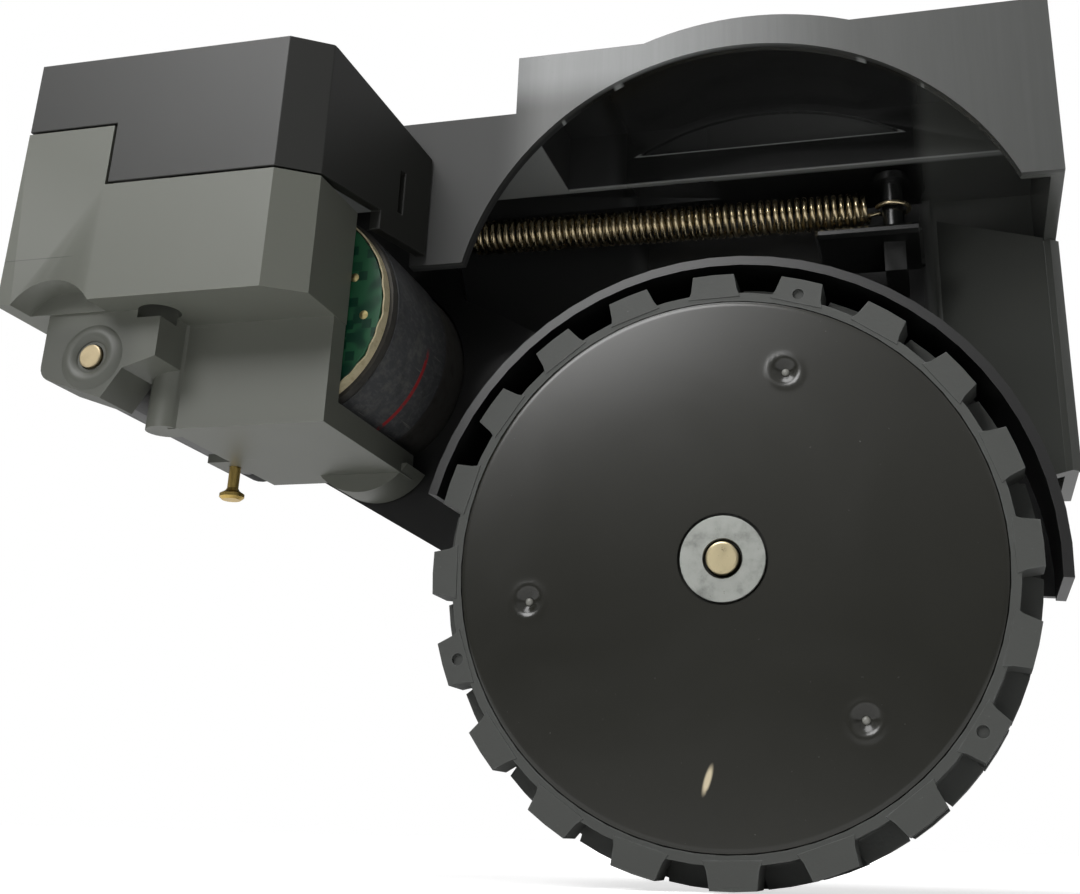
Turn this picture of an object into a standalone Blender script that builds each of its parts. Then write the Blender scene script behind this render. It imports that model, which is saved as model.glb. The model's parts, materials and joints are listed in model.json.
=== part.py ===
"""Robot vacuum wheel module: a wheel well with a motor cover, and a sprung swing arm that carries
the motor, a four-stage gearbox and the wheel.

The layout is worked out from the wheel: X runs right, Y runs away from the wheel's outer face, Z is up,
and the wheel's axle is the Y axis. The whole module then hangs from one empty that brings the seat on
the well's roof to the origin. Lengths are in metres.
"""

import math

import bmesh
import bpy
from mathutils import Matrix, Vector, geometry

MM = 0.001
TAU = 2 * math.pi

GAP = 0.3 * MM  # between pieces that touch
RUNNING = 0.1 * MM  # round a shaft that turns in its bore
WALL = 1.6 * MM  # moulded walls
STEP = 0.1 * MM  # between the faces of shapes that are joined

# Wheel
WHEEL_RADIUS = 36.0 * MM
LUG_HEIGHT = 2.5 * MM
BAND = 1.3 * MM  # of rubber between the disc's rim and the lugs
TREAD_RADIUS = WHEEL_RADIUS - LUG_HEIGHT
GROOVE_RADIUS = TREAD_RADIUS - BAND
WHEEL_WIDTH = 16.0 * MM
LUG_COUNT = 20
LUG_SHARE = 0.52  # of the pitch
ROW_WIDTHS = (5.0 * MM, 4.6 * MM, 4.8 * MM)
ROW_GAP = 0.8 * MM
DISC_WEB = 2.2 * MM
RIM_WALL = 2.0 * MM
HUB_RADIUS = 5.6 * MM
AXLE_RADIUS = 1.95 * MM
AXLE_PROUD = 0.5 * MM
WASHER_RADIUS = 5.1 * MM
WASHER_BORE = 2.35 * MM
WASHER_THICK = 0.5 * MM
DIMPLE_RING = TREAD_RADIUS - 9.5 * MM
DIMPLE_RADIUS = 1.7 * MM
DIMPLE_DEPTH = 1.1 * MM
DIMPLE_COUNT = 3
DIMPLE_START = math.radians(71)
TYRE_DIMPLE_RADIUS = 0.7 * MM
TYRE_DIMPLE_LUGS = (3, 10, 17)
LUG_START = math.radians(19.5)
DIMPLE_LINE = WHEEL_RADIUS - 2.0 * MM

# Guard and gearbox on the swing arm
GUARD_WALL = 1.2 * MM
GUARD_OUTER = WHEEL_RADIUS + 1.9 * MM + GUARD_WALL
GUARD_FRONT = 1.5 * MM
GUARD_START = math.radians(-4)
GUARD_END = math.radians(166)
CASE_FRONT = WHEEL_WIDTH + 0.6 * MM
CASE_WALL = 1.5 * MM
CASE_DEPTH = 13.2 * MM
COVER_WALL = 1.5 * MM
TIP_CLEARANCE = 1.2 * MM
RING_OUTER = 16.2 * MM
FOOT_RADIUS = 8.0 * MM
CASE_SCREW_RADIUS = 1.0 * MM
CASE_SCREW_HEAD = 1.9 * MM

# Hinge
PIVOT = Vector((-74.0 * MM, 0, 22.3 * MM))
PIN_RADIUS = 1.5 * MM
PIN_FRONT = -21.3 * MM
BARREL_RADIUS = 4.2 * MM
BARREL_FRONT = -13.6 * MM
BARREL_BACK = CASE_FRONT + CASE_WALL + 2.0 * MM
REAR_EAR = 4.0 * MM
CLIP_RADIUS = 2.9 * MM
CLIP_THICK = 0.6 * MM

# Motor
MOTOR = Vector((-54.8 * MM, 0, 31.1 * MM))
MOTOR_RADIUS = 14.6 * MM
MOTOR_FRONT = -9.0 * MM
MOTOR_BACK = CASE_FRONT + CASE_WALL + 3.0 * MM
CAN_WALL = 0.8 * MM
BOARD_THICK = 1.5 * MM
SHAFT_RADIUS = 1.0 * MM
BOARD_RADIUS = 13.8 * MM
BOARD_BORE = 4.6 * MM
MAGNET_RADIUS = 3.6 * MM
TERMINAL_REACH = 8.6 * MM
TERMINAL_THICK = 0.5 * MM
TERMINAL_HALF = 1.0 * MM
CAP_DEPTH = 2.4 * MM  # of the end cap inside the can's edge
CAP_THICK = 2.0 * MM

# Gear train: pinion, three gear-and-pinion blocks, output gear
MODULES = (0.40 * MM, 0.50 * MM, 0.60 * MM, 0.80 * MM)
DRIVERS = (14, 14, 14, 12)
DRIVEN = (60, 48, 40, 30)
BACKLASH = 0.16  # of a tooth's pitch, spent on both gears together
TRAIN_RISE = 1.5 * MM  # of the end gears over the line from motor to axle
GEAR_WIDTH = 2.2 * MM
GEAR_SPACE = 0.5 * MM
GEAR_PIN = 1.0 * MM
GEAR_HUB = 3.9 * MM

# Wheel well
PLATE_FRONT = -1.2 * MM
PLATE_BACK = 0.6 * MM
ARCH_CENTRE = Vector((2.4 * MM, 0, 30.5 * MM))
ARCH_RADIUS = 38.1 * MM
BULGE_CENTRE = Vector((3.6 * MM, 0, 31.7 * MM))
BULGE_RADIUS = 41.2 * MM
WELL_LEFT = -28.0 * MM
WELL_RIGHT = 42.3 * MM
ROOF = 70.5 * MM
LOW_ROOF = 61.7 * MM
WING_LEFT = -83.5 * MM
WING_UNDER = LOW_ROOF - 7.7 * MM
SIDE_STRIP = -42.0 * MM
ARCH_LEFT_END = 40.0 * MM
LEDGE = 46.0 * MM
BAY_FRONT = 20.0 * MM
WELL_BACK = 36.3 * MM
WELL_BOTTOM = 14.0 * MM
CRESCENT_RADIUS = BULGE_RADIUS - 2.8 * MM
CRESCENT_RISE = 5.3 * MM
REAR_STEP = 30.0 * MM
REAR_FOOT = -60.0 * MM
REAR_FOOT_BOTTOM = 24.0 * MM
REAR_TOE = -46.0 * MM
RIB_LEFT = 25.0 * MM
STOP_LOW = 38.0 * MM
STOP_HEIGHT = 6.0 * MM
PANEL_LEFT = RIB_LEFT + 2.0 * MM
PANEL_TOP = LEDGE + 11.0 * MM
EAR_WEB = -81.8 * MM
WELL_SCREW = 1.0 * MM
WELL_SCREW_HEAD = 2.0 * MM
WELL_SCREWS = (Vector((-80.0 * MM, 0, LOW_ROOF - 3.7 * MM)), Vector((-50.0 * MM, 0, LOW_ROOF - 3.9 * MM)))
SEAT = Vector((30.0 * MM, 17.0 * MM, ROOF))

# Left block: dark cover over a light bracket
BLOCK_LEFT = -85.5 * MM
BLOCK_FRONT = -25.2 * MM
BLOCK_CORNER = -50.0 * MM
BLOCK_RIGHT = -45.3 * MM
BLOCK_SHOULDER = -22.0 * MM
BLOCK_TOP = LOW_ROOF + 0.3 * MM
SEAM_HIGH = BLOCK_TOP - 10.2 * MM
SEAM_LOW = BLOCK_TOP - 18.5 * MM
SEAM_STEP = -72.8 * MM
BLOCK_UNDER = 28.1 * MM
BRACKET_BACK = -11.2 * MM
BLOCK_WALL = 1.7 * MM
COVER_BACK = PLATE_FRONT - GAP
COVER_FLARE = -39.6 * MM
COVER_HEM = BLOCK_TOP - 20.8 * MM
LOWER_FRONT = -14.6 * MM
LOWER_LEFT = -66.2 * MM
FLOOR_BOTTOM = 14.6 * MM
FLOOR_BACK = 13.6 * MM
LIP_TOP = 18.0 * MM
EAR_FRONT = -20.8 * MM
EAR_LEFT = -81.0 * MM
BOSS_X = -67.2 * MM
BOSS_SUNK = 1.3 * MM
NOTCH_Z = PIVOT.z + 2.3 * MM
NOTCH_RADIUS = 6.4 * MM
COVER_CHAMFER_LOW = BLOCK_TOP - 6.4 * MM
SLOT_X = -44.0 * MM
SLOT_Y = -7.2 * MM
SLOT_LOW = BLOCK_TOP - 17.0 * MM
SLOT_HIGH = BLOCK_TOP - 11.0 * MM

# Electrical pieces inside the cover
SWITCH = Vector((-58.0 * MM, -6.0 * MM, BLOCK_TOP - 3.2 * MM))
PLUG_CENTRE = Vector((-75.6 * MM, -14.0 * MM, 0))
PLUG_HALF = 6.2 * MM
PLUG_DEPTH = 2.2 * MM
CONTACTS = 6
CONTACT_PITCH = 1.7 * MM
CONTACT_HALF = 0.25 * MM
CONTACT_DEPTH = 0.6 * MM

# Spring and its post
SPRING_RADIUS = 2.7 * MM
SPRING_WIRE = 0.5 * MM
SPRING_PITCH = 1.5 * MM
HOOK_REACH = 4.2 * MM
SPRING_Y = 24.0 * MM
SPRING_LEFT = Vector((-43.5 * MM, SPRING_Y, 55.4 * MM))
SPRING_RIGHT = Vector((17.6 * MM, SPRING_Y, 54.6 * MM))
POST_RADIUS = 1.5 * MM
TUNNEL_HALF = SPRING_RADIUS + 0.4 * MM
TUNNEL_WALL = 1.2 * MM
TUNNEL_RIGHT = -4.5 * MM
POST_OFFSET = 3.4 * MM
POST_HEAD = 2.6 * MM

# Small screws
CAPTIVE = Vector((-67.1 * MM, 4.0 * MM, 0))
CAPTIVE_RADIUS = 0.75 * MM
CAPTIVE_HEAD = 1.65 * MM
CAPTIVE_HEAD_BOTTOM = 10.2 * MM
CAPTIVE_TOP = 19.6 * MM
POCKET = Vector((-66.3 * MM, -19.6 * MM, 0))
POCKET_RADIUS = 2.6 * MM


def clear_scene():
    for thing in list(bpy.data.objects):
        bpy.data.objects.remove(thing, do_unlink=True)


def collection(name):
    made = bpy.data.collections.new(name)
    bpy.context.scene.collection.children.link(made)
    return made


clear_scene()
PARTS = collection("robot_vacuum_wheel_module")
CUTTERS = collection("cutters")


def material(name, colour, roughness, metallic=0.0):
    made = bpy.data.materials.new(name)
    made.use_nodes = True
    shader = made.node_tree.nodes["Principled BSDF"]
    shader.inputs["Base Color"].default_value = (*colour, 1)
    shader.inputs["Roughness"].default_value = roughness
    shader.inputs["Metallic"].default_value = metallic
    made.diffuse_color = (*colour, 1)
    return made


DARK = material("dark_plastic", (0.035, 0.035, 0.037), 0.38)
DARKER = material("cover_plastic", (0.026, 0.027, 0.028), 0.42)
GREY = material("grey_plastic", (0.145, 0.15, 0.15), 0.45)
ARM = material("arm_plastic", (0.018, 0.018, 0.019), 0.35)
DISC = material("disc_plastic", (0.05, 0.05, 0.05), 0.16)
TYRE = material("tyre_rubber", (0.04, 0.042, 0.044), 0.55)
STEEL = material("steel", (0.55, 0.54, 0.5), 0.3, 1.0)
SPRING_STEEL = material("spring_steel", (0.5, 0.45, 0.36), 0.28, 1.0)
CAN_STEEL = material("can_steel", (0.33, 0.32, 0.3), 0.5, 0.9)
BRASS = material("brass", (0.7, 0.5, 0.2), 0.3, 1.0)
BRONZE = material("bronze", (0.45, 0.28, 0.12), 0.4, 1.0)
BOARD = material("circuit_board", (0.0, 0.16, 0.08), 0.4)
WHITE = material("white_plastic", (0.75, 0.75, 0.7), 0.45)
BLACK = material("black_plastic", (0.01, 0.01, 0.01), 0.45)
GEAR = material("gear_plastic", (0.62, 0.6, 0.54), 0.45)


def finish(made, name, paint):
    """Names a piece, gives it its material and moves it to the parts."""
    made.name = name
    made.data.name = name
    made.data.materials.clear()
    made.data.materials.append(paint)
    for home in list(made.users_collection):
        home.objects.unlink(made)
    PARTS.objects.link(made)
    return made


def smooth(made, angle=35):
    made.data.shade_smooth()
    made.data.set_sharp_from_angle(angle=math.radians(angle))
    return made


def apply_transform(made):
    """Bakes the location, rotation and scale into the mesh, so the origin is the axle's."""
    made.data.transform(made.matrix_world)
    made.matrix_world = Matrix.Identity(4)
    return made


def box(low, high):
    centre = [(a + b) / 2 for a, b in zip(low, high)]
    bpy.ops.mesh.primitive_cube_add(size=1, location=centre)
    made = bpy.context.object
    made.scale = [b - a for a, b in zip(low, high)]
    bpy.context.view_layer.update()
    return apply_transform(made)


def rod(radius, front, back, at=Vector((0, 0, 0)), sides=48, tip=None):
    """A cylinder, or a cone with its tip radius at the back, along Y."""
    bpy.ops.mesh.primitive_cone_add(
        vertices=sides,
        radius1=radius,
        radius2=radius if tip is None else tip,
        depth=back - front,
        location=(at.x, (front + back) / 2, at.z),
        rotation=(-math.pi / 2, 0, 0),
    )
    bpy.context.view_layer.update()
    return apply_transform(bpy.context.object)


def upright(radius, low, high, at, sides=32, tip=None):
    """A cylinder or cone along Z."""
    bpy.ops.mesh.primitive_cone_add(
        vertices=sides,
        radius1=radius,
        radius2=radius if tip is None else tip,
        depth=high - low,
        location=(at.x, at.y, (low + high) / 2),
    )
    bpy.context.view_layer.update()
    return apply_transform(bpy.context.object)


def curve_to_mesh(curve):
    """A mesh object made of a curve's evaluated shape, with its caps welded on."""
    graph = bpy.context.evaluated_depsgraph_get()
    mesh = bpy.data.meshes.new_from_object(curve.evaluated_get(graph))
    work = bmesh.new()
    work.from_mesh(mesh)
    bmesh.ops.remove_doubles(work, verts=work.verts, dist=1e-6)
    bmesh.ops.recalc_face_normals(work, faces=work.faces)
    work.to_mesh(mesh)
    work.free()
    made = bpy.data.objects.new(curve.name, mesh)
    bpy.context.scene.collection.objects.link(made)
    made.matrix_world = curve.matrix_world
    bpy.data.objects.remove(curve, do_unlink=True)
    return made


def flat(outlines, thickness):
    """A 2D curve of closed outlines, filled and extruded to its thickness along Z."""
    data = bpy.data.curves.new("outline", "CURVE")
    data.dimensions = "2D"
    data.fill_mode = "BOTH"
    data.extrude = thickness / 2
    for outline in outlines:
        spline = data.splines.new("POLY")
        spline.points.add(len(outline) - 1)
        for point, (x, y) in zip(spline.points, outline):
            point.co = (x, y, 0, 1)
        spline.use_cyclic_u = True
    made = bpy.data.objects.new("outline", data)
    bpy.context.scene.collection.objects.link(made)
    return made


def slab(outlines, front, back):
    """Outlines in the X-Z plane, solid from front to back along Y."""
    made = flat(outlines, back - front)
    made.matrix_world = Matrix.Translation((0, (front + back) / 2, 0)) @ Matrix.Rotation(math.pi / 2, 4, "X")
    bpy.context.view_layer.update()
    return apply_transform(curve_to_mesh(made))


def storey(outlines, low, high):
    """Outlines in the X-Y plane, solid from low to high along Z."""
    made = flat(outlines, high - low)
    made.matrix_world = Matrix.Translation((0, 0, (low + high) / 2))
    bpy.context.view_layer.update()
    return apply_transform(curve_to_mesh(made))


def turned(profile, at=Vector((0, 0, 0)), steps=96, turn=Matrix.Rotation(math.pi / 2, 4, "X")):
    """A closed profile of (radius, depth) points turned about the Y axis through a place."""
    mesh = bpy.data.meshes.new("profile")
    count = len(profile)
    points = [(radius, 0, -depth) for radius, depth in profile]
    edges = [(i, (i + 1) % count) for i in range(count)]
    mesh.from_pydata(points, edges, [])
    made = bpy.data.objects.new("profile", mesh)
    bpy.context.scene.collection.objects.link(made)
    screw = made.modifiers.new("turn", "SCREW")
    screw.steps = steps
    screw.render_steps = steps
    screw.use_merge_vertices = True
    screw.merge_threshold = 1e-6
    screw.use_normal_calculate = True
    made.matrix_world = Matrix.Translation((at.x, at.y, at.z)) @ turn
    bpy.context.view_layer.update()
    mesh = bpy.data.meshes.new_from_object(made.evaluated_get(bpy.context.evaluated_depsgraph_get()))
    work = bmesh.new()
    work.from_mesh(mesh)
    bmesh.ops.recalc_face_normals(work, faces=work.faces)
    work.to_mesh(mesh)
    work.free()
    made.modifiers.remove(screw)
    made.data = mesh
    return apply_transform(made)


def tool(made):
    """Keeps a shape as a hidden tool of a Boolean."""
    made.name = "cutter"
    made.hide_render = True
    made.display_type = "WIRE"
    for home in list(made.users_collection):
        home.objects.unlink(made)
    CUTTERS.objects.link(made)
    return made


def combine(made, others, operation):
    for other in others:
        change = made.modifiers.new(operation.lower(), "BOOLEAN")
        change.operation = operation
        change.object = tool(other)
        change.solver = "EXACT"
        other.parent = made
    return made


def join(made, *others):
    return combine(made, others, "UNION")


def cut(made, *others):
    return combine(made, others, "DIFFERENCE")


def arc(centre, radius, start, end, count):
    """Points of an arc in the X-Z plane."""
    angles = [start + (end - start) * i / count for i in range(count + 1)]
    return [(centre.x + radius * math.cos(a), centre.z + radius * math.sin(a)) for a in angles]


def hull(circles, count=28):
    """The outline round several circles, each a centre and a radius."""
    points = [Vector(p) for centre, radius in circles for p in arc(centre, radius, 0, TAU, count)[:-1]]
    return [tuple(points[i]) for i in geometry.convex_hull_2d(points)]


def offset(outline, distance):
    """A closed anticlockwise outline moved inwards by a distance, corner by corner."""
    moved = []
    count = len(outline)
    for i in range(count):
        before, here, after = (Vector(outline[j % count]) for j in (i - 1, i, i + 1))
        first = (here - before).normalized()
        second = (after - here).normalized()
        inward = Vector((-first.y - second.y, first.x + second.x))
        reach = distance / max(0.3, 0.5 * inward.dot(Vector((-first.y, first.x))))
        moved.append(tuple(here + inward * 0.5 * reach))
    return moved


def polar(centre, radius, angle):
    return Vector((centre.x + radius * math.cos(angle), 0, centre.z + radius * math.sin(angle)))


def direction(angle):
    return Vector((math.cos(angle), 0, math.sin(angle)))


# Gear places: the end gears ride a little over the line from motor to axle, the middle one meshes with both
PITCH_RADII = [(size * driver / 2, size * driven / 2) for size, driver, driven in zip(MODULES, DRIVERS, DRIVEN)]
CENTRES = [a + b for a, b in PITCH_RADII]
AXLE = Vector((0, 0, 0))
TRAIN_ANGLE = math.atan2(-MOTOR.z, -MOTOR.x)
FIRST = MOTOR + CENTRES[0] * direction(TRAIN_ANGLE + math.asin(TRAIN_RISE / CENTRES[0]))
THIRD = AXLE - CENTRES[3] * direction(TRAIN_ANGLE - math.asin(TRAIN_RISE / CENTRES[3]))
SPAN = (THIRD - FIRST).length
ALONG = (CENTRES[1] ** 2 - CENTRES[2] ** 2 + SPAN**2) / (2 * SPAN)
LIFT = math.sqrt(max(0.0, CENTRES[1] ** 2 - ALONG**2))
AHEAD = (THIRD - FIRST) / SPAN
SECOND = FIRST + ALONG * AHEAD + LIFT * Vector((-AHEAD.z, 0, AHEAD.x))

CAVITY_FRONT = CASE_FRONT + CASE_WALL
COVER_FRONT = CASE_FRONT + CASE_DEPTH + GAP
COVER_REAR = COVER_FRONT + COVER_WALL
STAGE_STEP = GEAR_WIDTH + GEAR_SPACE
LAYERS = [COVER_FRONT - 3.0 * MM - stage * STAGE_STEP for stage in range(4)]
BUSH_RADIUS = AXLE_RADIUS + 1.6 * MM
CAN_BORE = MOTOR_RADIUS + GAP
FOOT = MOTOR + Vector((3.4 * MM, 0, -11.0 * MM))
PIN_STARTS = (MOTOR_BACK + GAP + 0.5 * MM, CASE_FRONT + CASE_WALL / 2, CASE_FRONT + CASE_WALL / 2)
CASE_GEAR_RADIUS = max(b for a, b in PITCH_RADII) + MODULES[-1] + TIP_CLEARANCE + CASE_WALL
RING_FRONT = CASE_FRONT
CASE_CIRCLES = [(MOTOR, RING_OUTER), (FIRST, CASE_GEAR_RADIUS), (THIRD, CASE_GEAR_RADIUS), (AXLE, CASE_GEAR_RADIUS)]
CASE_OUTLINE = hull(CASE_CIRCLES)
HORN = SPRING_LEFT - Vector((HOOK_REACH, 0, 0))
HORN_RADIUS = 2.4 * MM
SWING = math.radians(22)  # up to the full lift of the arm
LIFTED = PIVOT + Matrix.Rotation(-SWING, 3, "Y") @ (HORN - PIVOT)
CASE_SCREWS = [
    polar(MOTOR, RING_OUTER + 1.6 * MM, math.radians(118)),
    polar(MOTOR, RING_OUTER + 1.6 * MM, math.radians(165)),
    polar(AXLE, CASE_GEAR_RADIUS + 1.6 * MM, math.radians(62)),
    polar(AXLE, CASE_GEAR_RADIUS + 1.6 * MM, math.radians(-62)),
]


def gear_outline(centre, size, teeth, phase):
    """A toothed outline: straight flanks, tooth centred on the phase angle."""
    pitch = size * teeth / 2
    root = pitch - 1.15 * size
    tip = pitch + 0.82 * size
    half = TAU / teeth / 4 * (1 - BACKLASH)
    at_root = half + 0.36 * 1.15 * size / pitch
    at_tip = half - 0.36 * 0.82 * size / pitch
    points = []
    for tooth in range(teeth):
        middle = phase + tooth * TAU / teeth
        for radius, angle in ((root, -at_root), (tip, -at_tip), (tip, at_tip), (root, at_root)):
            spot = polar(centre, radius, middle + angle)
            points.append((spot.x, spot.z))
    return points


def meshed(first, second, stage, phase):
    """The phase of the driven gear that puts a gap where the driver's tooth comes."""
    toward = math.atan2(second.z - first.z, second.x - first.x)
    driver, driven = PITCH_RADII[stage]
    return toward + math.pi - driver / driven * (phase - toward) + math.pi / DRIVEN[stage]


def circle(centre, radius, count=16):
    return arc(centre, radius, 0, TAU, count)[:-1]


def gear_block(name, place, stage, phase, bore):
    """A gear and the smaller pinion in front of it, moulded together round a fixed pin."""
    size, pinion_size = MODULES[stage], MODULES[stage + 1]
    wheel = slab(
        [gear_outline(place, size, DRIVEN[stage], phase), circle(place, bore)],
        LAYERS[stage],
        LAYERS[stage] + GEAR_WIDTH,
    )
    pinion = slab(
        [gear_outline(place, pinion_size, DRIVERS[stage + 1], 0), circle(place, bore)],
        LAYERS[stage + 1] - 0.1 * MM,
        LAYERS[stage] + GEAR_WIDTH / 2,
    )
    return finish(join(wheel, pinion), name, GEAR)


def gear_train():
    """Motor pinion, three gear blocks on pins and the output gear on the axle."""
    pins = []
    pinion = slab(
        [gear_outline(MOTOR, MODULES[0], DRIVERS[0], 0), circle(MOTOR, SHAFT_RADIUS + GAP / 2)],
        LAYERS[0] - 0.3 * MM,
        LAYERS[0] + GEAR_WIDTH,
    )
    pieces = {"motor_pinion": finish(pinion, "motor_pinion", BRASS)}
    bore = GEAR_PIN + RUNNING
    place_before = MOTOR
    for stage, (name, place) in enumerate((("first", FIRST), ("second", SECOND), ("third", THIRD))):
        phase = meshed(place_before, place, stage, 0)
        pieces[name + "_gear"] = gear_block(name + "_gear", place, stage, phase, bore)
        pin = rod(GEAR_PIN, PIN_STARTS[stage] + GAP, COVER_REAR - COVER_WALL / 2 - GAP, place, 24)
        pins.append(smooth(finish(pin, "gear_pin_" + name, STEEL)))
        place_before = place
    output = slab(
        [
            gear_outline(AXLE, MODULES[3], DRIVEN[3], meshed(THIRD, AXLE, 3, 0)),
            circle(AXLE, AXLE_RADIUS + GAP / 2, 32),
        ],
        LAYERS[3],
        LAYERS[3] + GEAR_WIDTH,
    )
    boss = turned(
        [
            (GEAR_HUB, LAYERS[3] + GEAR_WIDTH - 0.3 * MM),
            (GEAR_HUB, LAYERS[3] + GEAR_WIDTH + 2.0 * MM),
            (AXLE_RADIUS + GAP, LAYERS[3] + GEAR_WIDTH + 2.0 * MM),
            (AXLE_RADIUS + GAP, LAYERS[3] + GEAR_WIDTH - 0.3 * MM),
        ],
        steps=32,
    )
    pieces["output_gear"] = finish(join(output, boss), "output_gear", GEAR)
    return pieces, pins


def tyre():
    """Three rows of lugs, the middle one staggered, on one band."""
    band = turned(
        [
            (TREAD_RADIUS, STEP),
            (TREAD_RADIUS, WHEEL_WIDTH - STEP),
            (GROOVE_RADIUS + GAP / 2, WHEEL_WIDTH - STEP),
            (GROOVE_RADIUS + GAP / 2, STEP),
        ],
        steps=LUG_COUNT * 3,
    )
    pitch = TAU / LUG_COUNT
    half = pitch * LUG_SHARE / 2
    fillet = 0.6 * MM / TREAD_RADIUS
    flank = [
        (TREAD_RADIUS - 0.5 * MM, half + fillet),
        (TREAD_RADIUS + 0.5 * MM, half + 0.2 * fillet),
        (WHEEL_RADIUS, half - 0.5 * fillet),
    ]
    lug = [(r, -a) for r, a in flank] + [(WHEEL_RADIUS, 0)] + [(r, a) for r, a in reversed(flank)]
    front = 0.0
    rows = []
    for row, width in enumerate(ROW_WIDTHS):
        outlines = []
        for number in range(LUG_COUNT):
            middle = LUG_START + (number + row % 2 / 2) * pitch
            spots = [polar(AXLE, r, middle + a) for r, a in lug]
            outlines.append([(s.x, s.z) for s in spots])
        rows.append(slab(outlines, front, front + width))
        front += width + ROW_GAP
    join(band, *rows)
    dimples = [
        rod(TYRE_DIMPLE_RADIUS, -1.0 * MM, 0.5 * MM, polar(AXLE, DIMPLE_LINE, LUG_START + number * pitch), 12)
        for number in TYRE_DIMPLE_LUGS
    ]
    return smooth(finish(cut(band, *dimples), "tyre", TYRE), 30)


def wheel_disc():
    """A dished disc: web in front, rim under the tyre and a hub with a collar for the washer."""
    rim = GROOVE_RADIUS - GAP / 2
    seat = WASHER_RADIUS + GAP
    depth = WASHER_THICK + GAP
    bore = AXLE_RADIUS + GAP / 2
    disc = turned(
        [
            (rim - 0.3 * MM, 0),
            (rim, 0.3 * MM),
            (rim, WHEEL_WIDTH - 0.2 * MM),
            (rim - RIM_WALL, WHEEL_WIDTH - 0.2 * MM),
            (rim - RIM_WALL - 0.3 * MM, DISC_WEB),
            (HUB_RADIUS + 1.2 * MM, DISC_WEB),
            (HUB_RADIUS, WHEEL_WIDTH - 0.4 * MM),
            (bore, WHEEL_WIDTH - 0.4 * MM),
            (bore, depth),
            (seat, depth),
            (seat, 0),
        ],
        steps=48,
    )
    ribs = []
    for number in range(6):
        angle = TAU * (number + 0.5) / 6
        rib = box(
            (HUB_RADIUS - 0.6 * MM, DISC_WEB - 0.3 * MM, -0.6 * MM),
            (rim - RIM_WALL + 0.5 * MM, WHEEL_WIDTH - 4.0 * MM, 0.6 * MM),
        )
        rib.matrix_world = Matrix.Rotation(-angle, 4, "Y")
        bpy.context.view_layer.update()
        ribs.append(apply_transform(rib))
    join(disc, *ribs)
    dimples = []
    for number in range(DIMPLE_COUNT):
        place = polar(AXLE, DIMPLE_RING, DIMPLE_START + number * TAU / DIMPLE_COUNT)
        dimples.append(rod(DIMPLE_RADIUS, -0.01 * MM, DIMPLE_DEPTH, place, 24, DIMPLE_RADIUS * 0.35))
    return smooth(finish(cut(disc, *dimples), "wheel_disc", DISC))


def wheel():
    """Everything that turns with the wheel, the gear apart."""
    axle = rod(AXLE_RADIUS, -AXLE_PROUD, COVER_REAR, AXLE, 32)
    bevel = axle.modifiers.new("edge", "BEVEL")
    bevel.width = 0.25 * MM
    bevel.segments = 2
    bevel.limit_method = "ANGLE"
    washer = turned(
        [(WASHER_RADIUS, 0), (WASHER_RADIUS, WASHER_THICK), (WASHER_BORE, WASHER_THICK), (WASHER_BORE, 0)],
        steps=40,
    )
    return [
        smooth(finish(axle, "axle", STEEL)),
        smooth(finish(washer, "axle_washer", STEEL)),
        wheel_disc(),
        tyre(),
    ]


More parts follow.
